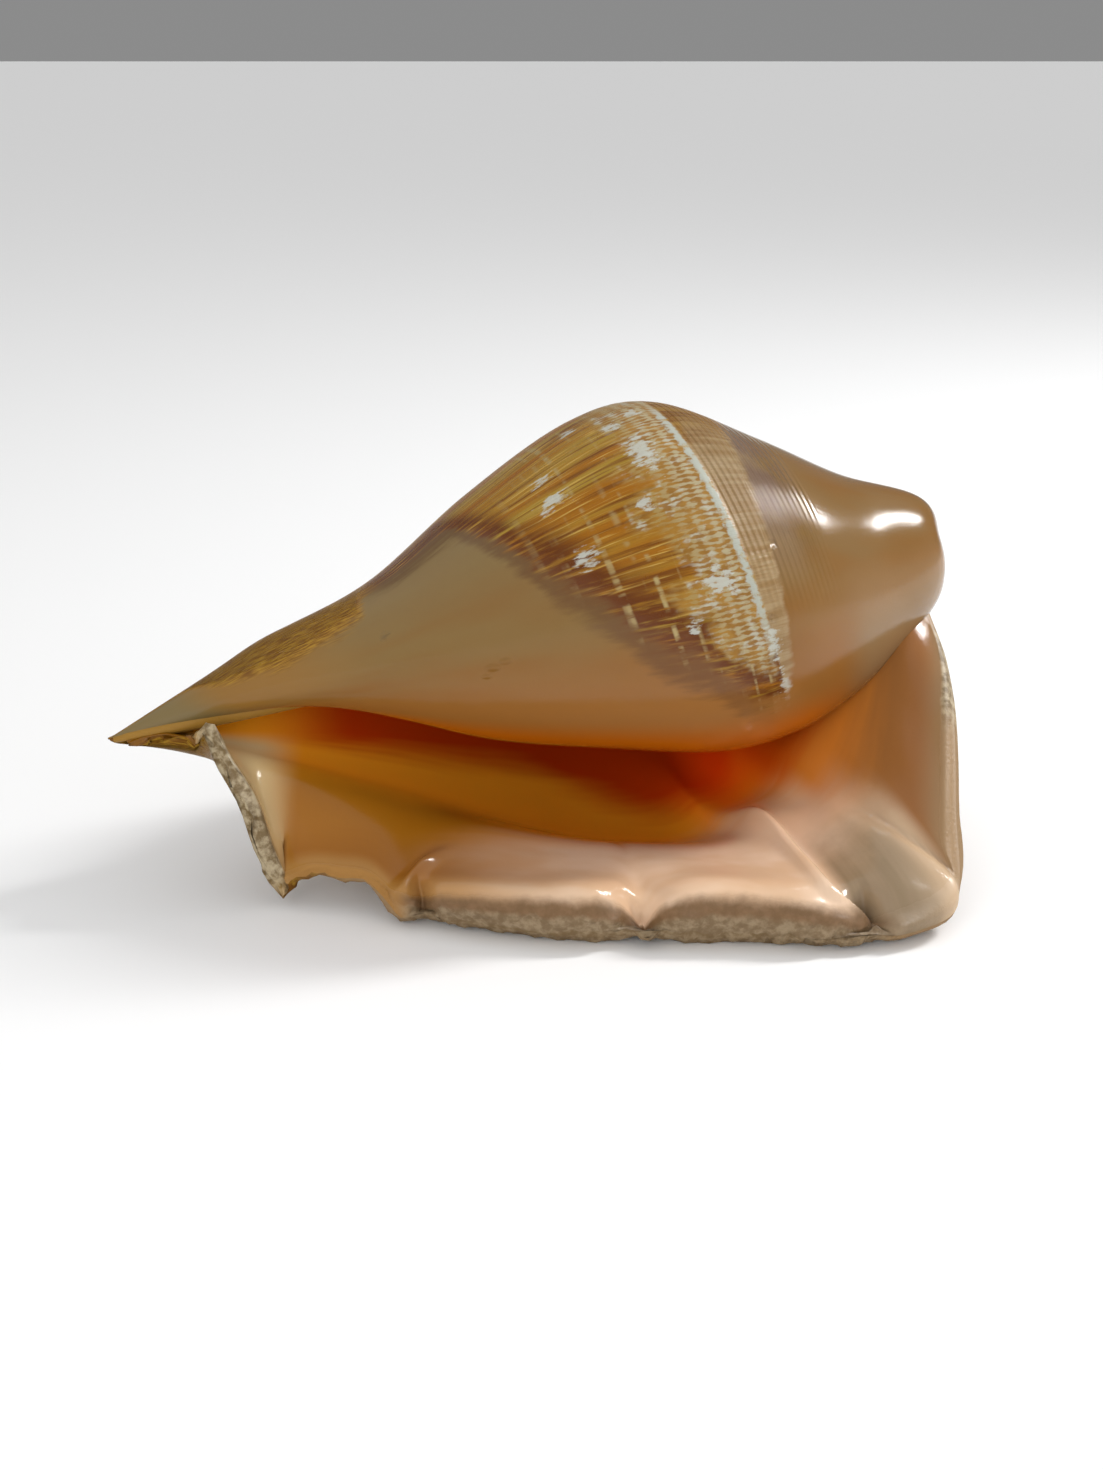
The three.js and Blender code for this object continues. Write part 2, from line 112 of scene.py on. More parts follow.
# Last whorl: (height, distance from the axis) in millimetres at each turn.
LAST_WHORL = {
    -110: [(196, 0.4), (194, 8), (181, 18), (171, 25.5), (158, 32.5), (141, 33),
           (113, 25.5), (92, 17.5), (76, 10.2), (63, 4), (52, 0.5)],
    -70: [(203, 0.4), (198.8, 13), (185.9, 23.3), (174.4, 30.2), (158.6, 35.5), (139.8, 35.8),
          (112.1, 28), (89.5, 20.6), (73, 12.2), (58.8, 4), (47, 0.5)],
    -25: [(203.4, 0.4), (199.6, 13.4), (185, 23.5), (171, 32), (155, 38.6), (136, 39.2),
          (108, 31), (84, 21.3), (64, 11.2), (46, 3.2), (32, 0.5)],
    20: [(203.4, 0.4), (199, 13.3), (183, 23), (168, 33.3), (151, 42), (131.5, 42.3),
         (104.5, 33.2), (79, 22.4), (58, 12.6), (37, 5.2), (16, 0.5)],
    110: [(201.5, 0.4), (197.6, 11.6), (180.2, 21.6), (162.4, 34.4), (142.5, 47.4), (123.8, 47.2),
          (97, 36.1), (71.9, 22.3), (50.8, 16.1), (28.4, 9), (4, 0.5)],
    155: [(190, 0.4), (185.5, 11), (172, 23.5), (159, 35), (141.5, 51), (120, 51.5),
          (94, 40.5), (68, 25.5), (46, 16), (25, 8.7), (4, 0.6)],
    200: [(158, 24), (157.5, 30), (155, 36), (148.5, 45), (137, 55.5), (115, 54.5),
          (90, 43), (64, 27.5), (42, 16), (22, 7.8), (4, 0.8)],
    240: [(169, 15), (167.5, 22), (163, 32), (154, 45), (137, 59.5), (111, 57),
          (87, 45), (61, 29), (40, 16.5), (21, 7.5), (5, 1.2)],
    278: [(185, 9), (180, 17), (172, 31), (158, 47), (137, 62.3), (109, 57.6),
          (84, 46), (58, 30), (38, 17), (20, 7), (7, 1.5)],
}

# Free margin of the lip: share, place, thickness, and how steeply the wall comes down to it.
MARGIN = [
    (0, 89, 2, 57.5, 4, 0), (0.05, 91.4, -8, 50.5, 5, 0), (0.1, 91.8, -18, 43, 6, 0),
    (0.15, 91.2, -28, 32.5, 6.5, 0), (0.2, 90.3, -38, 21.5, 7.5, 0.2),
    (0.24, 90.2, -46.5, 10.5, 9, 0.4), (0.27, 88, -52.8, 5.5, 10, 0.5),
    (0.3, 79.5, -57.8, 3.8, 10, 0.6), (0.345, 66.5, -62.2, 3.6, 11, 0.6),
    (0.41, 48, -59.8, 3.8, 12.5, 0.6), (0.475, 28, -59.3, 3.8, 12, 0.6),
    (0.49, 22.5, -60, 3.7, 8, 0.6), (0.498, 20.5, -62.5, 3, 5, 0.6), (0.508, 17.5, -60, 3.7, 8, 0.6),
    (0.53, 12, -59.2, 3.8, 12, 0.6), (0.58, -3, -57.5, 3.8, 12.5, 0.6),
    (0.64, -21, -52.5, 3.8, 11.5, 0.6), (0.665, -29, -50, 3.6, 9.5, 0.5),
    (0.685, -35, -49, 4, 8, 0.4), (0.7, -39.5, -44, 7.5, 5, 0.3),
    (0.735, -48, -40.5, 9, 4, 0.2), (0.775, -57, -38.5, 8, 4, 0.2),
    (0.79, -60.5, -37.5, 5.5, 4, 0.2), (0.797, -61.3, -38, 2.8, 4, 0.2),
    (0.804, -62.5, -38.4, 6.5, 4, 0.2),
    (0.822, -65, -39.5, 14, 4.5, 0), (0.842, -68, -40.8, 27, 4.5, 0),
    (0.858, -73, -38.5, 35.5, 4, -0.1), (0.875, -76.5, -34.5, 42, 3.5, -0.3),
    (0.9, -79.5, -30.5, 37.8, 3, -0.1), (0.945, -88, -28.2, 37.3, 3, 0),
    (1, -96, -28, 35.9, 2, 0),
]

# Lines on the aperture's face, as (way on the lip, share). Ways below 0 are on the spiral.
# Each has the ways over which its relief appears (and fades), and its bumps as (height in
# millimetres, centre and half-width in shares beside the line).
TURNS_PER_WAY = 100
SILL = [(-0.5, 0.42), (-0.28, 0.39), (0.02, 0.352), (0.27, 0.332), (0.5, 0.33)]
SILL_WAYS = ((-0.5, -0.2), (0.25, 0.5))
SILL_BUMPS = [(3, 0.025, 0.03), (-2.5, -0.025, 0.03)]
RIDGE = [(0, 0.352), (0.16, 0.354), (0.64, 0.36), (0.88, 0.35), (0.96, 0.333), (1, 0.33)]
RIDGE_WAYS = (0.1, 0.4)
RIDGE_BUMPS = [(1.5, 0.002, 0.007)]
FOLD = [(0.35, 0.3), (0.59, 0.28), (0.77, 0.266), (1, 0.246)]
FOLD_WAYS = (0.35, 0.6)
FOLD_BUMPS = [(1, 0.012, 0.012), (-1.6, -0.006, 0.009)]
ROLL = [(0.5, 0.642), (0.68, 0.661), (0.78, 0.671), (0.95, 0.683), (1, 0.688)]
ROLL_WAYS = (0.5, 0.7)
ROLL_BUMPS = [(2.2, 0, 0.007)]

# The fan-shaped hollow beside the ridge: depth in millimetres, and shares beside the ridge.
FAN_DROP = 3.2
FAN_DROP_SHARES = ((0, 0.012), (0.012, 0.06))

# The low swelling on the canal's back: height, and (centre, half-width) in turns and shares.
HUMP_HEIGHT = 0.9
HUMP_TURNS = (110, 45)
HUMP_SHARES = (0.84, 0.04)

# The swelling of the lip's floor, in millimetres, and where it grows and fades.
FLOOR_RISE = 3
FLOOR_SHARES = ((0.3, 0.38), (0.6, 0.68))
FLOOR_WAYS = ((0, 0.4), (0.4, 0.9))

# Creases between the lip's thick lobes: share, depth, and how far the rounded ends reach on
# the spire's side and on the canal's side, in millimetres.
CREASES = [(0.328, 7, 5, 24), (0.498, 8, 7, 15), (0.665, 4.5, 8, 3.5)]
CREASE_WAYS = (0.75, 0.95)
CREASE_RETREAT = 0.5
CREASE_POWER = 2.4
OUTER_CREASING = 0.35
MARGIN_PER_SHARE = 300

# How the lobes bulge, in millimetres, between the first and last crease but not at the middle
# one. Ways and the middle crease are given as (centre, half-width).
CUSHION_HEIGHT = 1.6
CUSHION_WAYS = (0.86, 0.12)
LOBE_SHARES = ((0.325, 0.36), (0.645, 0.665))
LOBE_GAP = (0.498, 0.014)

# Lumps of the worn margin, in millimetres: their size, and how far they reach on the lobes and
# on the chipped rim at the canal's end.
LUMP_SIZE = 2.8
LUMP_OCTAVES = 2
LUMP_SEED = 7
LUMP_WAYS = (0.93, 0.99)
LOBE_LUMPS = 0.8
LOBE_LUMP_SHARES = (0.3, 0.34)
RIM_LUMPS = 2
RIM_LUMP_SHARES = (0.78, 0.81)
LEAST_LUMP = 0.01

# How finely each stretch is meshed.
SHEET_SHARES = 220
SHEET_TURNS = 112
LIP_WAYS = 78
SPIRE_SHARES = 50
SPIRE_TURNS = 130
SPIRE_OVERLAP = 10
SPIRE_INSET = 0.3
COLUMELLA_SIDES = 32
COLUMELLA_RINGS = 60
SPREAD_STEPS = 4000

# Where the mesh is closer than elsewhere, and by how much: on the lobes, at their creases
# (within CREASE_REACH millimetres), on the last whorl's upper half, and near the lip's margin.
CLOSER_LOBES = 0.6
CLOSER_LOBE_SHARES = ((0.27, 0.3), (0.68, 0.71))
CLOSER_CREASES = 3.5
CREASE_REACH = 3
CLOSER_TURNS = ((0, 20), (185, 200))
CLOSER_MARGIN = 2.5
CLOSER_WAYS = (0.75, 0.95)

# The columella's pillar: height along the axis and radius, in millimetres.
COLUMELLA = [
    (4.8, 0.7), (20, 2), (60, 3.2), (100, 5), (140, 6.5), (175, 6.5), (188, 4.4), (193.5, 2.6),
    (195.2, 0.8),
]


def smooth(start, stop, value):
    """0 before start, 1 after stop, and an S-shaped rise between them."""
    u = np.clip((np.asarray(value, float) - start) / (stop - start), 0, 1)
    return u * u * (3 - 2 * u)


def rise_and_fall(spans, value):
    """0, then up to 1 over the first span, and back to 0 over the second."""
    rising, falling = spans
    return smooth(*rising, value) * (1 - smooth(*falling, value))


def curve_through(places, rows, at):
    """A smooth curve through rows of numbers placed at `places`, read at every `at`."""
    places, rows = np.asarray(places, float), np.asarray(rows, float)
    at = np.clip(np.asarray(at, float), places[0], places[-1])
    flat = (-1,) + (1,) * (rows.ndim - 1)
    gaps = np.diff(places).reshape(flat)
    slopes = np.diff(rows, axis=0) / gaps
    tangents = np.empty_like(rows)
    tangents[0], tangents[-1] = slopes[0], slopes[-1]
    tangents[1:-1] = (slopes[1:] * gaps[:-1] + slopes[:-1] * gaps[1:]) / (gaps[1:] + gaps[:-1])
    i = np.clip(np.searchsorted(places, at, side="right") - 1, 0, len(places) - 2)
    gap = gaps[i]
    u = ((at - places[i]) / gap.reshape(-1)).reshape(flat)
    return ((2 * u**3 - 3 * u**2 + 1) * rows[i] + (u**3 - 2 * u**2 + u) * gap * tangents[i]
            + (3 * u**2 - 2 * u**3) * rows[i + 1] + (u**3 - u**2) * gap * tangents[i + 1])


def shoulder_radius(turn):
    return SHOULDER_RADIUS * np.exp(GROWTH_PER_RADIAN * np.radians(turn - SHOULDER_TURN))


def shoulder_height(turn):
    return APEX_HEIGHT - SPIRE_SLOPE * shoulder_radius(turn) ** SPIRE_POWER


def station_rows():
    """Every station's outline in shoulder radii, so that stations can be blended."""
    rows = [YOUNG_WHORL for _ in YOUNG_TURNS]
    for turn, outline in LAST_WHORL.items():
        radius, height = shoulder_radius(turn), shoulder_height(turn)
        rows.append([((h - height) / radius, d / radius) for h, d in outline])
    return YOUNG_TURNS + list(LAST_WHORL), np.array(rows)


STATIONS = station_rows()
OUTLINE_SHARES = np.linspace(0, 1, len(YOUNG_WHORL))


def columella_core(height):
    """Inside this distance from the axis there is only columella."""
    table = np.array(COLUMELLA, float)
    flat = curve_through(table[:, 0], table[:, 1], np.ravel(height))
    return flat.reshape(np.shape(height)) * COLUMELLA_OVERLAP


def outer_points(turn, share):
    """Height and distance of the outer surface, for every turn (rows) and share (columns)."""
    outlines = np.swapaxes(curve_through(*STATIONS, turn), 0, 1)
    points = np.swapaxes(curve_through(OUTLINE_SHARES, outlines, share), 0, 1)
    radius = shoulder_radius(turn)[:, None]
    height = points[..., 0] * radius + shoulder_height(turn)[:, None]
    return height, np.maximum(points[..., 1] * radius, columella_core(height) + LEAST_WALL)


def bump(centre, half_width, value):
    """1 at the centre, fading smoothly to nothing a few half-widths away."""
    return np.exp(-((value - centre) / half_width) ** 2)


def line_of(table, along):
    table = np.array(table, float)
    return curve_through(table[:, 0], table[:, 1], along)[:, None]


def relief_beside(line, bumps, along, share):
    """The bumps and grooves that run beside one line of the aperture's face."""
    beside = share - line_of(line, along)
    return sum(height * bump(centre, half_width, beside) for height, centre, half_width in bumps)


def inner_relief(along, share):
    """Swellings and grooves of the aperture's face, in millimetres, positive into the mouth.

    `along` is the way on the lip, and carries on below 0 along the spiral.
    """
    fan = FAN_DROP * rise_and_fall(FAN_DROP_SHARES, line_of(RIDGE, along) - share)
    sill = relief_beside(SILL, SILL_BUMPS, along, share)
    ridge = relief_beside(RIDGE, RIDGE_BUMPS, along, share) - fan
    fold = relief_beside(FOLD, FOLD_BUMPS, along, share)
    roll = relief_beside(ROLL, ROLL_BUMPS, along, share)
    return (rise_and_fall(SILL_WAYS, along)[:, None] * sill
            + smooth(*RIDGE_WAYS, along)[:, None] * ridge
            + smooth(*FOLD_WAYS, along)[:, None] * fold
            + smooth(*ROLL_WAYS, along)[:, None] * roll)


def outer_relief(turn, share):
    """A low swelling on the canal's back, in millimetres."""
    return HUMP_HEIGHT * bump(*HUMP_TURNS, turn)[:, None] * bump(*HUMP_SHARES, share)


def callus_depth(turn, share):
    """How much thicker the callus makes the wall on its inner side."""
    over_spire = rise_and_fall(SPIRE_CALLUS_TURNS, turn)[:, None]
    on_front = rise_and_fall(FRONT_CALLUS_TURNS, turn)[:, None]
    return (SPIRE_CALLUS * over_spire * (1 - smooth(*SPIRE_CALLUS_FADES, share))
            + FRONT_CALLUS * on_front * rise_and_fall(FRONT_CALLUS_SHARES, share))


def outline_direction(turn, share):
    """How the outline rises and spreads towards the canal, as parts of a length of 1."""
    before = outer_points(turn, np.clip(share - NUDGE, 0, 1))
    after = outer_points(turn, np.clip(share + NUDGE, 0, 1))
    rise, spread = after[0] - before[0], after[1] - before[1]
    length = np.hypot(rise, spread)
    return rise / length, spread / length


def wall_at(turn, share):
    """The wall's outer, middle and inner points as (height, distance), and its thickness."""
    height, distance = outer_points(turn, share)
    rise, spread = outline_direction(turn, share)
    full = WALL * np.clip(shoulder_radius(turn) / WALL_RADIUS, THINNEST, THICKEST)[:, None]
    near_lip = smooth(*LIP_BASE_TURNS, turn)[:, None] * (1 - smooth(*LIP_BASE_SHARES, share))
    full = full * (1 + LIP_BASE_GAIN * near_lip)
    thickness = np.minimum(full, distance * MOST_OF_RADIUS)

    def inwards(depth, extra):
        deep_height = height - spread * depth
        deep_distance = distance + rise * depth - extra
        return deep_height, np.maximum(deep_distance, columella_core(deep_height))

    relief = inner_relief((turn - LIP_START) / TURNS_PER_WAY, share)
    outer = (height, distance + outer_relief(turn, share))
    inner = inwards(thickness + relief, callus_depth(turn, share))
    return outer, inwards(thickness / 2, 0), inner, thickness


def axis_directions():
    tilt = Matrix.Rotation(math.radians(AXIS_YAW), 3, "Z") @ Matrix.Rotation(
        -math.radians(AXIS_PITCH), 3, "Y")
    return [np.array(tilt @ Vector(v)) for v in ((1, 0, 0), (0, 0, 1), (0, -1, 0))]


ALONG, UP, FRONT = axis_directions()


def to_space(point, turn):
    height, distance = point
    angle = np.radians(turn)[:, None]
    return (PIVOT + (height - PIVOT_HEIGHT)[..., None] * ALONG
            + (distance * np.cos(angle))[..., None] * FRONT
            + (distance * np.sin(angle))[..., None] * UP)


# --- The lip ---


def unit(vectors):
    return vectors / np.maximum(np.linalg.norm(vectors, axis=-1, keepdims=True), 1e-9)


def lip_strands(share):
    """What the lip's curves start from and end on, for every share."""
    turn = np.array([LIP_START - TURN_NUDGE, LIP_START], float)
    outer, middle, _, thickness = wall_at(turn, share)
    outer, middle = to_space(outer, turn), to_space(middle, turn)
    table = np.array(MARGIN, float)
    margin = curve_through(table[:, 0], table[:, 1:], share)
    end = margin[:, :3]
    reach = end - middle[1]
    arriving = unit(reach * [1, 1, LIP_FLATNESS])
    arriving[:, 2] -= margin[:, 4]
    return {
        "start": middle[1], "end": end, "leaving": unit(middle[1] - middle[0]),
        "arriving": unit(arriving), "length": np.linalg.norm(reach, axis=-1),
        "outward": unit(outer[1] - middle[1]), "from": thickness[1], "to": margin[:, 3],
        "floor": FLOOR_RISE * rise_and_fall(FLOOR_SHARES, share),
    }


def lip_middle(strands, way):
    u = way[:, None, None]
    length = strands["length"][:, None]
    middle = ((2 * u**3 - 3 * u**2 + 1) * strands["start"]
              + (u**3 - 2 * u**2 + u) * strands["leaving"] * length
              + (3 * u**2 - 2 * u**3) * strands["end"]
              + (u**3 - u**2) * strands["arriving"] * length * LIP_ARRIVAL)
    middle[..., 2] += strands["floor"] * rise_and_fall(FLOOR_WAYS, way)[:, None]
    return middle


def crease_depth(share):
    """How far the thick margin draws in near a crease: round ends meeting in a groove."""
    depth = np.zeros_like(share)
    for centre, deepest, towards_spire, towards_canal in CREASES:
        reach = np.where(share < centre, towards_spire, towards_canal)
        near = np.clip(1 - np.abs(share - centre) * MARGIN_PER_SHARE / reach, 0, 1)
        depth = np.maximum(depth, deepest * near**CREASE_POWER)
    return depth


def cushion_height(way, share):
    """How far each lobe bulges between its creases, near the margin."""
    on_lobe = rise_and_fall(LOBE_SHARES, share) * (1 - bump(*LOBE_GAP, share))
    return CUSHION_HEIGHT * bump(*CUSHION_WAYS, way)[:, None] * on_lobe


def lip_directions(strands, share, way):
    """Where the lip leads on to, and which way its outer face looks."""
    onward = (lip_middle(strands, np.minimum(way + NUDGE, 1))
              - lip_middle(strands, np.maximum(way - NUDGE, 0)))
    across = (lip_middle(lip_strands(np.minimum(share + NUDGE, 1)), way)
              - lip_middle(lip_strands(np.maximum(share - NUDGE, 0)), way))
    turning = smooth(0, LIP_TURNING, way)[:, None, None]
    outward = turning * unit(np.cross(onward, across)) + (1 - turning) * strands["outward"]
    return unit(onward), unit(outward)


def lip_wall(share, way):
    """The lip's outer and inner faces, for every way (rows) and share (columns)."""
    strands = lip_strands(share)
    middle = lip_middle(strands, way)
    onward, outward = lip_directions(strands, share, way)
    rounding = np.clip(strands["to"] / 2 / strands["length"], *EDGE_ROUNDING)
    into_edge = np.clip((way[:, None] - 1 + rounding) / rounding, 0, 1)
    full = strands["from"] + (strands["to"] - strands["from"]) * smooth(
        *LIP_THICKENING, way)[:, None]
    half = full / 2 * (1 - into_edge**EDGE_SQUARENESS) ** (1 / EDGE_SQUARENESS)
    crease = crease_depth(share) * smooth(*CREASE_WAYS, way)[:, None]
    back = onward * crease[..., None] * CREASE_RETREAT
    relief = (inner_relief(way, share) + cushion_height(way, share)) * (1 - into_edge**2)
    outer = middle + outward * half[..., None] - back * OUTER_CREASING
    inner = middle - outward * np.maximum(half + relief - crease, -half)[..., None] - back
    reach = lump_reach(way, share)
    return lumpy(outer, reach), lumpy(inner, reach)


def lump_reach(way, share):
    """How far the worn margin's lumps reach, in millimetres."""
    reach = (LOBE_LUMPS * smooth(*LOBE_LUMP_SHARES, share)
             + (RIM_LUMPS - LOBE_LUMPS) * smooth(*RIM_LUMP_SHARES, share))
    return reach * smooth(*LUMP_WAYS, way)[:, None]


def lumpy(points, reach):
    """Moves each point by noise that depends on where it is, by up to its reach."""
    noise.seed_set(LUMP_SEED)
    for spot in zip(*np.nonzero(reach > LEAST_LUMP)):
        at = Vector(points[spot] / LUMP_SIZE)
        points[spot] += np.array(noise.turbulence_vector(at, LUMP_OCTAVES, False)) * reach[spot]
    return points


# --- Meshes ---


def spread_by(density, count, start=0.0, stop=1.0):
    """Places between start and stop, closer together where the density is higher."""
    fine = np.linspace(start, stop, SPREAD_STEPS)
    total = np.concatenate([[0], np.cumsum(density(fine))])[:-1]
    return np.interp(np.linspace(0, total[-1], count), total, fine)


def share_density(share):
    density = 1 + CLOSER_LOBES * rise_and_fall(CLOSER_LOBE_SHARES, share)
    for centre, *_ in CREASES:
        density = density + CLOSER_CREASES * bump(centre, CREASE_REACH / MARGIN_PER_SHARE, share)
    return density


def turn_density(turn):
    return 1 + rise_and_fall(CLOSER_TURNS, turn)


def way_density(way):
    return 1 + CLOSER_MARGIN * smooth(*CLOSER_WAYS, way)


def ring_faces(rows, ring):
    """Quads of a closed tube of `rows` rings of `ring` points."""
    row, column = np.meshgrid(np.arange(rows - 1), np.arange(ring), indexing="ij")
    after = (column + 1) % ring
    corners = [row * ring + column, row * ring + after,
               (row + 1) * ring + after, (row + 1) * ring + column]
    return np.stack(corners, -1).reshape(-1, 4)


def ring_fields(growth, share, inside):
    """The coordinates of rings of points: a growth for each ring, a share and side in each."""
    rows, ring = len(growth), len(share)
    return {
        "growth": np.repeat(growth[:, None], ring, 1),
        "share": np.repeat(share[None], rows, 0),
        "inside": np.repeat(inside[None], rows, 0),
    }


def sheet_rings():
    """The hollow last whorl and the lip, as rings of points with their coordinates."""
    share = spread_by(share_density, SHEET_SHARES)
    turn = spread_by(turn_density, SHEET_TURNS, SHEET_START, LIP_START)
    way = spread_by(way_density, LIP_WAYS)[1:]
    outer, _, inner, _ = wall_at(turn, share)
    lip_outer, lip_inner = lip_wall(share, way)
    outer = np.concatenate([to_space(outer, turn), lip_outer])
    inner = np.concatenate([to_space(inner, turn), lip_inner])
    points = np.concatenate([inner, outer[:, ::-1]], axis=1)
    turns = np.concatenate([turn, np.full(len(way), float(LIP_START))])
    ways = np.concatenate([np.zeros(len(turn)), way])
    shares = np.concatenate([share, share[::-1]])
    sides = np.concatenate([np.ones(len(share)), np.zeros(len(share))])
    return points, ring_fields(turns + ways * TURNS_PER_WAY, shares, sides)


def spire_rings():
    """The earlier whorls, solid from their outer surface in to the columella."""
    share = np.linspace(0, 1, SPIRE_SHARES)
    turn = np.linspace(SPIRE_START, SHEET_START + SPIRE_OVERLAP, SPIRE_TURNS)
    height, distance = outer_points(turn, share)
    inset = SPIRE_INSET * smooth(SHEET_START - SPIRE_OVERLAP, SHEET_START, turn)[:, None]
    outer = to_space((height, distance - inset), turn)
    core = to_space((height, columella_core(height)), turn)
    points = np.concatenate([core, outer[:, ::-1]], axis=1)
    shares = np.concatenate([share, share[::-1]])
    sides = np.repeat([1.0, 0.0], SPIRE_SHARES)
    return points, ring_fields(turn, shares, sides)


def columella_rings():
    """The pillar that the whorls wind round."""
    table = np.array(COLUMELLA, float)
    heights = np.linspace(table[0, 0], table[-1, 0], COLUMELLA_RINGS)
    radii = curve_through(table[:, 0], table[:, 1], heights)
    turn = np.linspace(0, 360, COLUMELLA_SIDES, endpoint=False)
    points = np.swapaxes(to_space((heights[None], radii[None]), turn), 0, 1)
    at_top = np.zeros(COLUMELLA_SIDES)
    return points, ring_fields(np.full(COLUMELLA_RINGS, float(SPIRE_START)), at_top, at_top)


def add_tube(parts, points, fields):
    """Adds one closed tube of rings, with flat ends, to the growing lists of a mesh."""
    rows, ring = points.shape[:2]
    first = sum(len(p) for p in parts["points"])
    last_row = (rows - 1) * ring
    parts["points"].append(points.reshape(-1, 3))
    parts["faces"] += (ring_faces(rows, ring) + first).tolist()
    parts["faces"].append([first + i for i in reversed(range(ring))])
    parts["faces"].append([first + last_row + i for i in range(ring)])
    for name, values in fields.items():
        parts["fields"].setdefault(name, []).append(values.ravel())


def build_mesh():
    parts = {"points": [], "faces": [], "fields": {}}
    for rings in (sheet_rings(), spire_rings(), columella_rings()):
        add_tube(parts, *rings)
    points = np.concatenate(parts["points"])
    fields = {name: np.concatenate(values) for name, values in parts["fields"].items()}
    fields["bare"] = fields["growth"] - at_shares(GLAZE_EDGE, fields["share"])
    fields["bare"][fields["growth"] < SHEET_START] = MOST_BARE
    fields["blotch"] = blotches(fields["growth"], fields["share"])
    return points, parts["faces"], fields


def at_shares(table, share):
    """The second column of a table of (share, value), read at every share."""
    table = np.array(table, float)
    return np.interp(share, table[:, 0], table[:, 1])


def blotches(growth, share):
    """Near 1 at the middle of each white blotch, falling to 0 round it."""
    strongest = np.zeros_like(share)
    for middle_growth, middle_share, long, wide in BLOTCHES:
        across = (growth - middle_growth) / long
        along = (share - middle_share) / wide
        strongest = np.maximum(strongest, np.exp(-across**2 - along**2))
    return strongest


# --- Placing ---


def place(points):
    """Millimetres to metres, centred on the CAD part's box, and standing on its floor."""
    low, high = (np.array(corner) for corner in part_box("shell"))
    placed = points * MM
    middle = (placed.min(0) + placed.max(0)) / 2
    placed += np.array([(low[0] + high[0]) / 2 - middle[0], (low[1] + high[1]) / 2 - middle[1], 0])
    placed[:, 2] = np.maximum(placed[:, 2], low[2])
    return placed


def make_shell():
    points, faces, fields = build_mesh()
    mesh = bpy.data.meshes.new("shell_skin")
    mesh.from_pydata(place(points).tolist(), [], faces)
    for name, values in fields.items():
        attribute = mesh.attributes.new(name, "FLOAT", "POINT")
        attribute.data.foreach_set("value", values.astype(np.float32))
    mesh.shade_smooth()
    mesh.materials.append(shell_material())
    skin = bpy.data.objects.new("shell_skin", mesh)
    bpy.context.collection.objects.link(skin)
    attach(skin, "root")
    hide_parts("shell")


# --- Looks ---

# How far up the glaze that spreads from the aperture reaches: share, turn.
GLAZE_EDGE = [
    (0, 135), (0.3, 128), (0.335, 96), (0.36, 70), (0.385, 28), (0.4, -5), (0.415, -20), (0.441, -22),
    (0.473, -15), (0.502, -2), (0.538, 7), (0.565, 25), (0.596, 41), (0.623, 69), (0.64, 91),
    (0.69, 91), (0.73, 89), (0.745, 66), (0.84, 54), (0.9, 68), (0.93, 104), (1, 105),
]
# How far the young whorls, which have no glaze, count as being from its edge.
MOST_BARE = 100
# White blotches: turn, share, half-length in turns and half-width in shares.
BLOTCHES = [
    (65, 0.562, 4, 0.014), (77, 0.56, 3, 0.01), (41, 0.56, 4, 0.012), (68, 0.475, 9, 0.018),
    (84, 0.485, 3, 0.014), (88, 0.45, 3, 0.012), (22, 0.46, 5, 0.022), (95, 0.52, 2, 0.012),
    (0, 0.42, 8, 0.01), (-18, 0.415, 6, 0.012), (50, 0.5, 3, 0.01), (12, 0.50, 3, 0.008),
]
# Small pimples and pits in the glaze: turn, share, radius and rise in millimetres.
PIMPLES = [
    (10, 0.66, 2, 0.4), (12, 0.648, 1.6, 0.3), (6, 0.668, 1.4, 0.25), (46, 0.734, 1.8, -0.4),
    (43, 0.738, 1.2, 0.25), (30, 0.382, 1.6, -0.5), (8, 0.412, 1.6, -0.5),
]

# Millimetres on the shell for one degree of turn, for the whole width of the sheet, and for a
# bump height of 1.
TURN_MM = 0.8
SHARE_MM = 240
BUMP_MM = 0.25
CORD_SPACING_MM = 1.9
# Length and spacing of the brown dashes.
DASH_MM = (4.2, 1.35)

SHOULDER_LINE = 0.425
LINE_WIDTH = 0.013

# Noise on the shell: grain size in millimetres along and across the growth lines, detail and
# seed; and the two levels between which it sets in.
BROAD_STRANDS = ((150, 7, 2, 0), (0.38, 0.62))
BROWN_STRANDS = ((45, 1.6, 3, 4), (0.48, 0.66))
PALE_STRANDS = ((18, 0.9, 2, 7), (0.54, 0.72))
DARK_STRANDS = ((14, 1.6, 3, 9), (0.3, 0.55))
SPIRAL_ROWS = ((2.4, 90, 1, 12), (0.54, 0.68))
ROW_BREAKS = ((10, 3, 3, 13), (0.42, 0.6))
LADDER_SPECKS = ((6, 5, 3, 21), (0.52, 0.62))
LADDER_SHADES = ((8, 6, 2, 23), (0.4, 0.6))
SLOPE_STREAKS = ((22, 1.7, 3, 35), (0.35, 0.65))
GOLD_STREAKS = ((4, 0.9, 3, 70), (0.38, 0.6))
WARM_PATCHES = ((50, 22, 2, 50), (0.4, 0.7))
MAUVE_PATCHES = ((14, 9, 3, 52), (0.3, 0.6))
FLARE_PATCHES = ((30, 30, 3, 60), (0.4, 0.65))
FAN_STREAKS = ((3, 60, 2, 62), (0.3, 0.7))

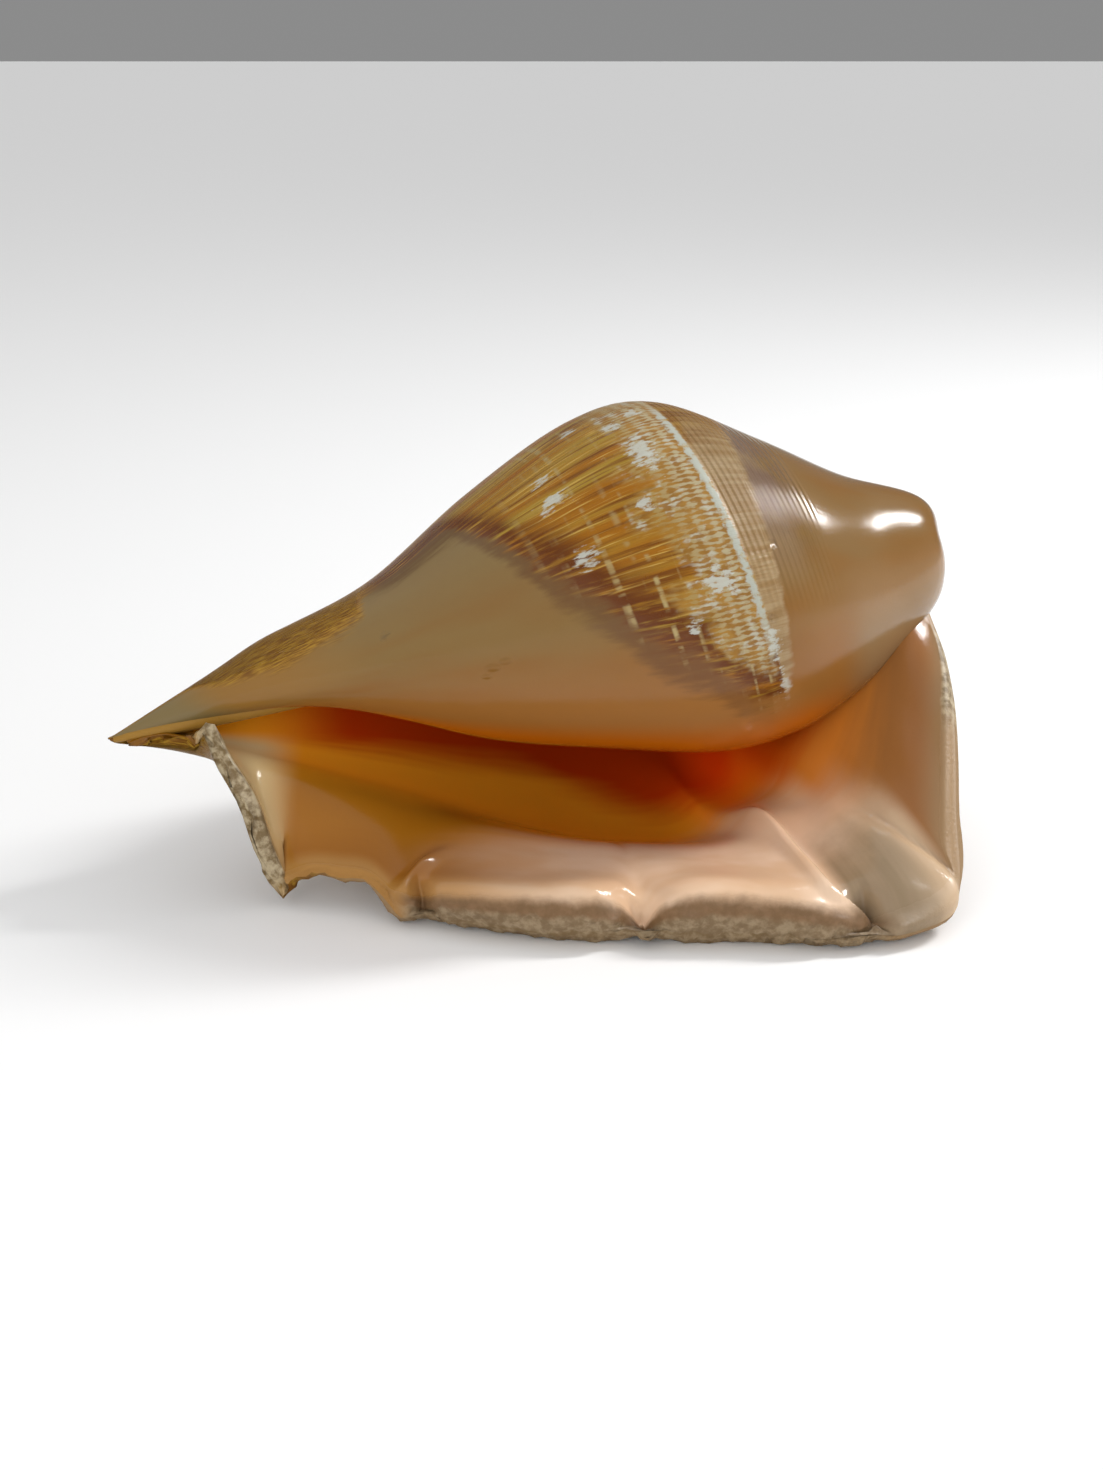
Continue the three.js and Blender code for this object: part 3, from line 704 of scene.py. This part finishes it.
# Noise that makes an edge ragged: the same, and how much it adds at most. LADDER_DRIFT shifts
# the dashes along and across the growth lines.
PALE_RAGGING = ((14, 8, 3, 15), 1.6)
LADDER_DRIFT = (((9, 5, 2, 17), 7.5), ((7, 4, 2, 18), 11))
LADDER_RAGGING = ((3, 0.9, 3, 19), 2.9)
LINE_RAGGING = ((2.4, 1.6, 3, 30), 2.4)
BLOTCH_RAGGING = ((3.4, 1.3, 4, 40), 2.6)
GLAZE_RAGGING = ((10, 2.5, 4, 55), 24)
DEPTH_WANDER = ((50, 8, 2, 65), 16)
# How strong the dashes' regular waves are, likewise.
LADDER_WAVES = (0.32, 0.4)

# Turns between which something sets in, or fades where the first is the larger. On the lip
# and inside it they are growth: the turn, and 100 more for the whole way to the margin.
PALE_TURNS = (-20, 10)
LINE_TURNS = (94, 80)
AMBER_TURNS = (60, 90)
CORD_TURNS = (0, 50)
LOW_TURNS = (24, -18)
GLAZED_CORD_TURNS = (10, 40)
PEACH_GROWTH = (296, 336)
RIGHT_GROWTH = (345, 378)
LEFT_GROWTH = (352, 368)
FLARE_GROWTH = (322, 362)
FLOOR_GROWTH = (314, 278)
WARM_GROWTH = (338, 300)
# Dark orange and red darken the passage further in: painted shade over the shell's own orange.
BURNT_AND_SHADE_GROWTH = (306, 284)
RED_SHADE_GROWTH = (262, 242)
ROLLED_GROWTH = (232, 262)
RIM_GROWTH = (356, 374)
UNDER_GROWTH = (360, 371)
LOWER_GROWTH = (374, 378)
# Where the margin is worn, and where the lobes' faces are painted darker as shade.
WORN_AND_SHADED_GROWTH = (370, 375.5)
GRAINY_GROWTH = (372, 377)

# Degrees of turn from the edge of the glaze, in the same way; the seam's are the middle and
# the half-width.
NEAR_GLAZE = (36, 14)
LINE_BARE = (10, 40)
AMBER_BARE = (80, 95)
SEAM_BARE = (8, 12)
BARE_COLOUR = (6, 20)
BARE_SURFACE = (4, 16)

# Shares, in the same way.
ROW_SHARES = (0.62, 0.52)
LADDER_SHARES = (0.5, 0.44)
GLAZE_SHARES = (0.36, 0.28)
BLUNT_END_SHARES = (0.34, 0.26)
RIGHT_SHARES = (0.31, 0.25)
LEFT_SHARES = (0.5, 0.7)
MOUTH_SHARES = (0.04, 0.1)
WARM_SHARES = (0.32, 0.29)
# Where the dark orange and red of painted shade set in across the sheet.
BURNT_AND_SHADE_SHARES = (0.345, 0.3)
RED_SHADE_SHARES = (0.85, 0.72)
INNER_CANAL_SHARES = (0.86, 0.92)
UNDER_SHARES = (0.8, 0.7)

# Zones that set in over a span of shares and a span of growth.
GREY_ZONE = ((0.52, 0.6), (10, 70))
TURNING_IN_ZONE = ((0.3, 0.4), (-22, -44))
CANAL_ZONE = ((0.74, 0.86), (0, 30))
TIP_ZONE = ((0.9, 0.95), (-20, 20))
LEFT_ORANGE_ZONE = ((0.5, 0.66), (268, 300))

# Patches that fade both ways, as (middle, half-width) in shares or turns.
MAUVE_SHARE_BAND = (0.35, 0.06)
MAUVE_TURN_BAND = (62, 46)
# The pale crest band is partly painted light that the fold's crest catches.
CREST_AND_LIGHT_BAND = (0.266, 0.03)
# Where the red painted shade reaches further out.
RED_SHADE_DEEPER_BAND = (0.41, 0.16)
# Painted light: a red patch where light would shine through the thin wall, not the shell's own colour.
PAINTED_GLOW_SHARE_BAND = (0.35, 0.09)
PAINTED_GLOW_TURN_BAND = (258, 34)

# The orange floor gets deeper towards the canal: from this share on, by this growth a share.
FLOOR_SLOPE = (0.416, -175)
# How much further out the red painted shade reaches at the middle of its band, in growth.
RED_SHADE_DEEPER_BY = 22

# Zones across the sheet, as the shares where each begins, is full, fades and is gone.
PALE_SHARES = (0.41, 0.428, 0.43, 0.56)
CORD_SHARES = (0.29, 0.33, 0.41, 0.425)
GLAZED_CORD_SHARES = (0.33, 0.36, 0.42, 0.45)
SEAM_SHARES = (0.42, 0.5, 0.7, 0.74)
FAN_SHARES = (0.255, 0.29, 0.335, 0.352)
ROLLED_SHARES = (0.775, 0.83, 0.9, 0.93)
RIM_SHARES = (0.8, 0.83, 0.87, 0.9)
LOBE_FACE_SHARES = (0.31, 0.335, 0.67, 0.69)
# Chalk at both ends of the margin, its pale specks partly painted glints.
CHALK_AND_GLINT_RIM_SHARES = (0.79, 0.81, 0.88, 0.9)
CHALK_AND_GLINT_END_SHARES = (0.01, 0.04, 0.1, 0.14)
# Where the canal's ribbed gold patch begins and is full.
GOLD_SHARES = (0.7, 0.74)


def paint(red, green, blue):
    """A colour as seen on a screen, 0 to 255, made into the light it stands for."""
    return tuple(((v / 255 + 0.055) / 1.055) ** 2.4 for v in (red, green, blue)) + (1,)


# Outside, bare.
STRAND_OLIVE = paint(156, 124, 42)
STRAND_AMBER = paint(150, 94, 10)
STRAND_BROWN = paint(112, 64, 6)
STRAND_PALE = paint(190, 154, 76)
STRAND_DARK = paint(94, 47, 5)
ROW_CREAM = paint(166, 146, 98)
LINE_WHITE = paint(172, 174, 162)
BLOTCH_WHITE = paint(186, 188, 178)
SLOPE_TANS = (paint(162, 138, 102), paint(142, 112, 72))
SLOPE_AMBERS = (paint(152, 114, 48), paint(118, 74, 20))
CANAL_GOLDS = (paint(160, 120, 34), paint(112, 70, 10))
LADDER_GROUNDS = (paint(158, 130, 74), paint(170, 156, 122))
LADDER_WHITE = paint(176, 170, 150)
LADDER_BROWNS = (paint(136, 92, 26), paint(156, 112, 40))

# Outside, glazed.
GLAZE_TANS = (paint(124, 94, 46), paint(122, 90, 44))
GLAZE_WARM_PATCH = paint(124, 84, 30)
GLAZE_GREY = paint(126, 106, 66)
GLAZE_LOW = paint(142, 94, 42)
GLAZE_BLUNT_END = paint(140, 110, 74)
GLAZE_ORANGE = paint(176, 92, 8)
GLAZE_CANAL = paint(136, 98, 42)
GLAZE_TIP = paint(118, 100, 62)
GLAZE_CORDS = paint(136, 112, 84)
GLAZE_MAUVE = paint(110, 84, 70)
GLAZE_SEAM = paint(86, 52, 24)

# Inside. The peaches and browns run from the depths to the margin, and the floor's oranges
# from its middle to the canal.
FLARE_PEACHES = (paint(214, 170, 132), paint(226, 196, 168))
FLARE_PATCH = paint(214, 178, 144)
RIGHT_BROWNS = (paint(144, 94, 48), paint(152, 122, 86))
LEFT_BROWNS = (paint(142, 86, 8), paint(160, 114, 54))
FAN_RAYS = (paint(136, 116, 90), paint(148, 127, 101))
# Pale crest colour, partly painted light on the fold's crest.
FAN_CREST_AND_LIGHT = paint(198, 170, 138)
FLOOR_ORANGES = (paint(238, 152, 32), paint(152, 96, 18))
WARM_ORANGE = paint(204, 124, 44)
# Dark orange and red: the shell's own orange, darkened further in as painted shade; the red also stands for
# light shining through the wall.
BURNT_ORANGE_AND_SHADE = paint(200, 84, 10)
RED_SHADE_AND_GLOW = paint(186, 56, 4)
# Painted light shining through the thin wall, as red.
PAINTED_GLOW_RED = paint(250, 74, 8)
ROLLED_CREAM = paint(220, 192, 140)
CANAL_BROWN = paint(122, 78, 8)
RIM_TAN = paint(160, 134, 88)

# The margin. A pair is the ground and its specks.
# The lobes' faces: worn grain, painted darker as shade where they face away from the light.
GRAINY_BROWNS_AND_SHADE = (paint(116, 94, 66), paint(146, 126, 98))
SMOOTH_BROWNS_AND_SHADE = (paint(112, 84, 54), paint(124, 94, 64))
UNDER_BROWN = paint(146, 118, 84)
# Chalk and its pale specks; the specks are partly painted glints.
CHALKS_AND_GLINTS = (paint(116, 95, 62), paint(182, 165, 134))


class Painter:
    """Short names for the shader nodes that the shell's look is made of."""

    def __init__(self, tree):
        self.tree = tree

    def node(self, kind, inputs, **settings):
        made = self.tree.nodes.new(kind)
        for name, value in settings.items():
            setattr(made, name, value)
        for name, value in inputs.items():
            if isinstance(value, bpy.types.NodeSocket):
                self.tree.links.new(value, made.inputs[name])
            else:
                made.inputs[name].default_value = value
        return made

    def field(self, name):
        return self.node("ShaderNodeAttribute", {}, attribute_name=name).outputs["Fac"]

    def maths(self, operation, first, second):
        return self.node("ShaderNodeMath", {0: first, 1: second}, operation=operation).outputs[0]

    def add(self, first, *others):
        for other in others:
            first = self.maths("ADD", first, other)
        return first

    def less(self, first, second):
        return self.maths("SUBTRACT", first, second)

    def greater(self, first, second):
        return self.maths("MAXIMUM", first, second)

    def both(self, first, *others):
        """The product: a scaled value, or where several amounts are all high."""
        for other in others:
            first = self.maths("MULTIPLY", first, other)
        return first

    def rise(self, value, start, stop):
        """0 at start and 1 at stop, smooth between; start may be the larger."""
        inputs = {"Value": value, "From Min": start, "From Max": stop}
        if start > stop:
            inputs = {"Value": value, "From Min": stop, "From Max": start, "To Min": 1.0, "To Max": 0.0}
        return self.node("ShaderNodeMapRange", inputs, interpolation_type="SMOOTHSTEP").outputs["Result"]

    def between(self, value, empty, full, fading, gone):
        """0 up to empty, 1 from full to fading, and 0 again from gone on."""
        return self.both(self.rise(value, empty, full), self.rise(value, gone, fading))

    def band(self, value, middle, half_width):
        """1 at the middle, 0 half a width away on either side."""
        away = self.maths("ABSOLUTE", self.less(value, middle), 0.0)
        return self.rise(away, half_width, 0.0)

    def outside(self):
        """1 on the wall's outer face and 0 on its inner face."""
        return self.rise(self.field("inside"), 0.5, 0.4)

    def square_of_gap(self, value, middle, scale):
        gap = self.both(self.less(value, middle), scale)
        return self.both(gap, gap)

    def spot(self, turn, share, radius_mm):
        """1 at one place on the outside, falling to 0 at the radius."""
        across = self.square_of_gap(self.field("growth"), turn, TURN_MM / radius_mm)
        along = self.square_of_gap(self.field("share"), share, SHARE_MM / radius_mm)
        near = self.greater(self.less(1.0, self.add(across, along)), 0.0)
        return self.both(near, near, self.outside())

    def grain(self, coarse_along, coarse_across, detail=3.0, seed=0.0):
        """Noise whose grains have the given sizes, in mm along the growth lines and across them."""
        growth = self.both(self.field("growth"), TURN_MM / coarse_across)
        share = self.both(self.field("share"), SHARE_MM / coarse_along)
        place = self.node("ShaderNodeCombineXYZ", {"X": growth, "Y": share, "Z": seed})
        noise_node = self.node("ShaderNodeTexNoise", {
            "Vector": place.outputs[0], "Scale": 1.0, "Detail": detail, "Roughness": 0.6})
        return noise_node.outputs["Fac"]

    def patches(self, sizes, levels):
        """Noise that sets in between two levels."""
        return self.rise(self.grain(*sizes), *levels)

    def ragging(self, sizes, most):
        return self.both(self.grain(*sizes), most)

    def to_and_fro(self, sizes, most):
        """Noise to either side of 0."""
        return self.both(self.less(self.grain(*sizes), 0.5), most)

    def zone(self, shares, growths):
        """1 where the share and the growth have both passed their spans."""
        return self.both(self.rise(self.field("share"), *shares), self.rise(self.field("growth"), *growths))

    def mottle(self, size_mm, detail=4.0):
        """Noise in space, with grains of the given size."""
        place = self.node("ShaderNodeTexCoord", {}).outputs["Object"]
        noise_node = self.node("ShaderNodeTexNoise", {
            "Vector": place, "Scale": 1 / (size_mm * MM), "Detail": detail, "Roughness": 0.6})
        return noise_node.outputs["Fac"]

    def mix(self, amount, under, over):
        return self.node("ShaderNodeMix", {0: amount, 6: under, 7: over}, data_type="RGBA").outputs[2]


# --- Looks: the outer face ---


def outside_colour(p):
    """Growth strands and spiral rows, under a glaze that spreads from the aperture."""
    colour = strand_colour(p)
    colour = p.mix(pale_zone(p), colour, ladder_colour(p))
    colour = over_shoulder_line(p, colour)
    colour = over_slope(p, colour)
    colour = over_canal(p, colour)
    colour = over_blotches(p, colour)
    return over_glaze(p, colour)


def strand_colour(p):
    """Amber strands along the growth lines, darker beside the glaze, with cream spiral rows."""
    colour = p.mix(p.patches(*BROAD_STRANDS), STRAND_OLIVE, STRAND_AMBER)
    colour = p.mix(p.patches(*BROWN_STRANDS), colour, STRAND_BROWN)
    colour = p.mix(p.patches(*PALE_STRANDS), colour, STRAND_PALE)
    near_glaze = p.rise(p.field("bare"), *NEAR_GLAZE)
    streaks = p.patches(*DARK_STRANDS)
    colour = p.mix(p.both(near_glaze, streaks), colour, STRAND_DARK)
    rows = p.patches(*SPIRAL_ROWS)
    broken = p.patches(*ROW_BREAKS)
    shown = p.rise(p.field("share"), *ROW_SHARES)
    return p.mix(p.both(rows, broken, shown), colour, ROW_CREAM)


def pale_zone(p):
    """Where the pale ground shows between short brown dashes, in front of the shoulder."""
    zone = p.between(p.field("share"), *PALE_SHARES)
    zone = p.both(zone, p.rise(p.field("growth"), *PALE_TURNS))
    return p.rise(p.add(zone, p.to_and_fro(*PALE_RAGGING)), 0.3, 0.7)


def ladder_colour(p):
    """Short dashes along the growth lines, in rows that follow the spiral."""
    share = p.field("share")
    length, spacing = DASH_MM
    along = p.add(p.both(share, math.tau * SHARE_MM / length), p.ragging(*LADDER_DRIFT[0]))
    across = p.both(p.field("growth"), math.tau * TURN_MM / spacing)
    across = p.add(across, p.ragging(*LADDER_DRIFT[1]))
    waves = p.both(p.maths("SINE", along, 0.0), LADDER_WAVES[0])
    waves = p.add(waves, p.both(p.maths("SINE", across, 0.0), LADDER_WAVES[1]))
    dashes = p.rise(p.add(waves, p.to_and_fro(*LADDER_RAGGING)), -0.45, 0.35)
    ground = p.mix(p.rise(share, *LADDER_SHARES), *LADDER_GROUNDS)
    ground = p.mix(p.patches(*LADDER_SPECKS), ground, LADDER_WHITE)
    brown = p.mix(p.patches(*LADDER_SHADES), *LADDER_BROWNS)
    return p.mix(p.both(dashes, 0.9), ground, brown)


def over_shoulder_line(p, colour):
    """The ragged bluish-white line on the shoulder, which fades towards the top and the glaze."""
    line = p.band(p.field("share"), SHOULDER_LINE, LINE_WIDTH)
    line = p.rise(p.add(line, p.ragging(*LINE_RAGGING)), 1.65, 2.2)
    shown = p.both(p.rise(p.field("growth"), *LINE_TURNS), p.rise(p.field("bare"), *LINE_BARE))
    return p.mix(p.both(line, shown), colour, LINE_WHITE)


def over_slope(p, colour):
    """The slope behind the shoulder: tan on the shown side, and amber at the back."""
    streaks = p.patches(*SLOPE_STREAKS)
    high, bare = p.rise(p.field("growth"), *AMBER_TURNS), p.rise(p.field("bare"), *AMBER_BARE)
    amber = p.greater(high, bare)
    slope = p.mix(amber, p.mix(streaks, *SLOPE_TANS), p.mix(streaks, *SLOPE_AMBERS))
    behind = p.rise(p.field("share"), SHOULDER_LINE - 0.003, SHOULDER_LINE - 0.008)
    return p.mix(behind, colour, slope)


def over_canal(p, colour):
    """The rough gold patch on the canal's back."""
    gold = p.mix(p.patches(*GOLD_STREAKS), *CANAL_GOLDS)
    return p.mix(p.rise(p.field("share"), *GOLD_SHARES), colour, gold)


def over_blotches(p, colour):
    blotch = p.field("blotch")
    spots = p.rise(p.add(blotch, p.ragging(*BLOTCH_RAGGING)), 1.78, 2.15)
    spots = p.both(spots, p.rise(blotch, 0.02, 0.2))
    return p.mix(p.both(spots, 0.85), colour, BLOTCH_WHITE)


def glaze_colour(p):
    """Tan, greyer above, warmer below, and orange where it turns into the mouth."""
    growth, share = p.field("growth"), p.field("share")
    glaze = p.mix(p.rise(share, *GLAZE_SHARES), *GLAZE_TANS)
    glaze = p.mix(p.patches(*WARM_PATCHES), glaze, GLAZE_WARM_PATCH)
    glaze = p.mix(p.both(p.zone(*GREY_ZONE), 0.7), glaze, GLAZE_GREY)
    low = p.rise(growth, *LOW_TURNS)
    glaze = p.mix(low, glaze, GLAZE_LOW)
    glaze = p.mix(p.both(low, p.rise(share, *BLUNT_END_SHARES)), glaze, GLAZE_BLUNT_END)
    glaze = p.mix(p.zone(*TURNING_IN_ZONE), glaze, GLAZE_ORANGE)
    glaze = p.mix(p.zone(*CANAL_ZONE), glaze, GLAZE_CANAL)
    return p.mix(p.zone(*TIP_ZONE), glaze, GLAZE_TIP)


def over_glaze(p, bare_colour):
    """The glaze, which hides the bare colour up to its ragged edge, with a dark seam there."""
    growth, share = p.field("growth"), p.field("share")
    cords = p.both(p.between(share, *GLAZED_CORD_SHARES), p.rise(growth, *GLAZED_CORD_TURNS))
    glaze = p.mix(p.both(cords, 0.8), glaze_colour(p), GLAZE_CORDS)
    mauve = p.both(p.band(share, *MAUVE_SHARE_BAND), p.band(growth, *MAUVE_TURN_BAND))
    mauve = p.both(mauve, p.patches(*MAUVE_PATCHES))
    glaze = p.mix(p.both(mauve, 0.8), glaze, GLAZE_MAUVE)
    edge = p.add(p.field("bare"), p.ragging(*GLAZE_RAGGING))
    colour = p.mix(p.rise(edge, *BARE_COLOUR), glaze, bare_colour)
    seam = p.both(p.band(edge, *SEAM_BARE), p.between(share, *SEAM_SHARES))
    return p.mix(p.both(seam, 0.6), colour, GLAZE_SEAM)


# --- Looks: the inner face ---


def inside_colour(p):
    """Red and orange in the depths, darkened further in as painted shade, with red painted light shining
    through the wall; peach on the flare, and cream where the canal rolls out.
    """
    return over_inner_canal(p, over_depths(p, flare_colour(p)))


def flare_colour(p):
    """Peach, browner to the right and left, with a greyish fan that ends at a pale crest, which is partly
    painted light that the crest catches.
    """
    growth, share = p.field("growth"), p.field("share")
    colour = p.mix(p.rise(growth, *PEACH_GROWTH), *FLARE_PEACHES)
    colour = p.mix(p.patches(*FLARE_PATCHES), colour, FLARE_PATCH)
    right = p.mix(p.rise(growth, *RIGHT_GROWTH), *RIGHT_BROWNS)
    colour = p.mix(p.rise(share, *RIGHT_SHARES), colour, right)
    flare = p.rise(p.add(growth, p.both(p.mottle(12), 20.0)), *FLARE_GROWTH)
    fan = p.both(p.between(share, *FAN_SHARES), flare)
    rays = p.patches(*FAN_STREAKS)
    colour = p.mix(fan, colour, p.mix(rays, *FAN_RAYS))
    # Pale crest, partly painted light that the crest catches.
    colour = p.mix(p.both(p.band(share, *CREST_AND_LIGHT_BAND), flare), colour, FAN_CREST_AND_LIGHT)
    left = p.mix(p.rise(growth, *LEFT_GROWTH), *LEFT_BROWNS)
    return p.mix(p.rise(share, *LEFT_SHARES), colour, left)


def over_depths(p, colour):
    """Orange on the floor, then dark orange and red where the passage turns in, darkened further in as
    painted shade, with a red patch of painted light shining through the thin wall.
    """
    growth, share = p.field("growth"), p.field("share")
    mouth = p.rise(share, *MOUTH_SHARES)
    depth = p.add(growth, p.ragging(*DEPTH_WANDER))
    start, slope = FLOOR_SLOPE
    canalward = p.both(p.greater(p.less(share, start), 0.0), slope)
    floor = p.both(p.rise(p.add(depth, canalward), *FLOOR_GROWTH), mouth)
    colour = p.mix(floor, colour, p.mix(p.zone(*LEFT_ORANGE_ZONE), *FLOOR_ORANGES))
    warm = p.both(p.rise(share, *WARM_SHARES), p.rise(depth, *WARM_GROWTH), mouth)
    colour = p.mix(warm, colour, WARM_ORANGE)
    # Painted shade: darker orange further into the passage.
    burnt_and_shade = p.both(p.rise(share, *BURNT_AND_SHADE_SHARES), p.rise(depth, *BURNT_AND_SHADE_GROWTH), mouth)
    colour = p.mix(burnt_and_shade, colour, BURNT_ORANGE_AND_SHADE)
    # Painted shade: red further into the passage, which also stands for light shining through the wall.
    deep_depth = p.less(depth, p.both(p.band(share, *RED_SHADE_DEEPER_BAND), RED_SHADE_DEEPER_BY))
    deep = p.both(p.rise(deep_depth, *RED_SHADE_GROWTH), p.rise(share, *RED_SHADE_SHARES), mouth)
    colour = p.mix(deep, colour, RED_SHADE_AND_GLOW)
    # Painted light: red where light would shine through the thin wall.
    painted_glow = p.both(p.band(share, *PAINTED_GLOW_SHARE_BAND), p.band(growth, *PAINTED_GLOW_TURN_BAND))
    return p.mix(p.both(painted_glow, 0.85), colour, PAINTED_GLOW_RED)


def over_inner_canal(p, colour):
    growth, share = p.field("growth"), p.field("share")
    rolled = p.both(p.between(share, *ROLLED_SHARES), p.rise(growth, *ROLLED_GROWTH))
    colour = p.mix(rolled, colour, ROLLED_CREAM)
    colour = p.mix(p.rise(share, *INNER_CANAL_SHARES), colour, CANAL_BROWN)
    rim = p.both(p.between(share, *RIM_SHARES), p.rise(growth, *RIM_GROWTH))
    return p.mix(rim, colour, RIM_TAN)


# --- Looks: the margin, and the whole surface ---


def worn_and_shaded_edge(p):
    """1 on the edge of the lip, where it has lost its gloss, and where the lobes' faces are painted darker
    as shade.
    """
    edge = p.add(p.field("growth"), p.both(p.mottle(4), 4.0))
    return p.rise(edge, *WORN_AND_SHADED_GROWTH)


def over_margin(p, colour):
    """The edge of the lip: grey-brown with painted shade on the lobes' faces, grainy underneath, and like
    chalk near its two ends, with pale specks there that are partly painted glints.
    """
    share, growth, inside = p.field("share"), p.field("growth"), p.field("inside")
    specks = p.rise(p.mottle(2.2), 0.36, 0.66)
    lower = p.add(p.rise(growth, *LOWER_GROWTH), p.rise(inside, 0.75, 0.25))
    # The lobes' faces: worn grain, and darker as painted shade.
    face = p.mix(p.rise(lower, 0.2, 0.9), p.mix(specks, *SMOOTH_BROWNS_AND_SHADE), p.mix(specks, *GRAINY_BROWNS_AND_SHADE))
    under = p.both(p.rise(inside, 0.6, 0.4), p.rise(growth, *UNDER_GROWTH), p.rise(share, *UNDER_SHARES))
    colour = p.mix(under, colour, UNDER_BROWN)
    lobes = p.between(share, *LOBE_FACE_SHARES)
    # The lobes' faces: worn, and painted darker as shade.
    colour = p.mix(p.both(lobes, worn_and_shaded_edge(p)), colour, face)
    # Chalk near the ends, its pale specks partly painted glints.
    rim, end = p.between(share, *CHALK_AND_GLINT_RIM_SHARES), p.between(share, *CHALK_AND_GLINT_END_SHARES)
    chalk_and_glints = p.both(p.greater(end, rim), worn_and_shaded_edge(p))
    return p.mix(chalk_and_glints, colour, p.mix(specks, *CHALKS_AND_GLINTS))


def surface_height(p, bare):
    """Growth strands, cords, the shoulder line, the worn edge, the canal's ribs and pimples."""
    growth, share = p.field("growth"), p.field("share")
    strands = p.both(p.grain(50, 0.9, 3, 4), bare)
    cord_waves = p.maths("SINE", p.both(share, SHARE_MM * math.tau / CORD_SPACING_MM), 0.0)
    on_slope = p.both(p.between(share, *CORD_SHARES), p.outside(), p.rise(growth, *CORD_TURNS))
    cords = p.both(cord_waves, on_slope, 0.8)
    line = p.both(p.band(share, SHOULDER_LINE, 0.012), 0.8, bare)
    edge = p.both(p.mottle(0.9), p.rise(growth, *GRAINY_GROWTH))
    fine = p.both(p.mottle(0.6), 0.12)
    ribs = p.both(p.grain(4, 0.9, 3, 70), p.rise(share, *GOLD_SHARES), bare, 3.0)
    height = p.add(strands, cords, line, edge, fine, ribs)
    for pimple_turn, pimple_share, radius_mm, rise_mm in PIMPLES:
        pimple = p.spot(pimple_turn, pimple_share, radius_mm)
        height = p.add(height, p.both(pimple, rise_mm / BUMP_MM))
    return height


def shell_material():
    material = bpy.data.materials.new("shell")
    material.use_nodes = True
    tree = material.node_tree
    p = Painter(tree)
    colour = p.mix(p.rise(p.field("inside"), 0.3, 0.7), outside_colour(p), inside_colour(p))
    bare = p.both(p.rise(p.field("bare"), *BARE_SURFACE), p.outside())
    bump_node = p.node("ShaderNodeBump", {
        "Height": surface_height(p, bare), "Distance": BUMP_MM * MM, "Strength": 1.0})
    dull = p.add(p.both(bare, 0.14), p.both(worn_and_shaded_edge(p), 0.4))
    looks = {
        "Base Color": over_margin(p, colour),
        "Normal": bump_node.outputs[0],
        "Roughness": p.add(dull, p.both(p.mottle(1.2), 0.1), 0.1),
        "Specular IOR Level": p.less(0.35, p.both(bare, 0.17)),
    }
    surface = tree.nodes["Principled BSDF"]
    for name, look in looks.items():
        tree.links.new(look, surface.inputs[name])
    return material


# --- Stage ---

FLOOR_SIZE = 12.0
FLOOR_GREY = 0.9
FLOOR_ROUGHNESS = 0.8
CAMERA_PLACE = (0.0037, -0.4565, 0.1962)
CAMERA_DOWN = 20
CAMERA_LENS = 50
CAMERA_SENSOR = 36

# Lights that face the origin: name, place in metres, size in metres and power in watts.
WINDOW = ("window", (0.72, 0.24, 0.66), (0.1, 0.3), 6)
SKYLIGHT = ("skylight", (0.58, 0.02, 0.82), (0.12, 0.3), 12)
FRONT_FILL = ("front_fill", (-0.3, -0.9, 0.35), (0.6, 0.6), 3)
SKY_STRENGTH = 0.76
DARK_WALL = 0.5


def make_floor():
    mesh = bpy.data.meshes.new("floor")
    half = FLOOR_SIZE / 2
    corners = [(-half, -half, 0), (half, -half, 0), (half, half, 0), (-half, half, 0)]
    mesh.from_pydata(corners, [], [(0, 1, 2, 3)])
    material = bpy.data.materials.new("floor")
    material.use_nodes = True
    surface = material.node_tree.nodes["Principled BSDF"]
    surface.inputs["Base Color"].default_value = (FLOOR_GREY, FLOOR_GREY, FLOOR_GREY, 1)
    surface.inputs["Roughness"].default_value = FLOOR_ROUGHNESS
    mesh.materials.append(material)
    floor = bpy.data.objects.new("floor", mesh)
    bpy.context.collection.objects.link(floor)


def add_light(name, place_m, size, watts):
    data = bpy.data.lights.new(name, "AREA")
    data.shape = "RECTANGLE"
    data.size, data.size_y = size
    data.energy = watts
    light = bpy.data.objects.new(name, data)
    light.location = place_m
    light.rotation_euler = (-Vector(place_m)).to_track_quat("-Z", "Y").to_euler()
    bpy.context.collection.objects.link(light)
    return light


def make_sky():
    """An even pale sky with one darker wall, low behind the shell, for its gloss to mirror."""
    world = bpy.data.worlds.new("soft_room")
    bpy.context.scene.world = world
    world.use_nodes = True
    sky = world.node_tree.nodes["Background"]
    sky.inputs["Color"].default_value = (1, 1, 1, 1)
    p = Painter(world.node_tree)
    generated = p.node("ShaderNodeTexCoord", {}).outputs["Generated"]
    towards = p.node("ShaderNodeSeparateXYZ", {0: generated})
    dark_wall = p.both(p.rise(towards.outputs["Y"], 0.1, 0.7), p.rise(towards.outputs["Z"], 0.75, 0.4))
    strength = p.less(SKY_STRENGTH, p.both(dark_wall, DARK_WALL))
    world.node_tree.links.new(strength, sky.inputs["Strength"])


def make_lights():
    """A window, a skylight that only the gloss shows, and a fill that it doesn't show."""
    make_sky()
    add_light(*WINDOW)
    add_light(*SKYLIGHT).visible_diffuse = False
    add_light(*FRONT_FILL).visible_glossy = False


def make_camera():
    bpy.context.scene.view_settings.view_transform = "Standard"
    data = bpy.data.cameras.new("camera")
    data.lens = CAMERA_LENS
    data.sensor_width = CAMERA_SENSOR
    camera = bpy.data.objects.new("camera", data)
    camera.location = CAMERA_PLACE
    camera.rotation_euler = (math.radians(90 - CAMERA_DOWN), 0, 0)
    bpy.context.collection.objects.link(camera)
    bpy.context.scene.camera = camera


make_camera()
make_lights()
make_floor()
make_shell()
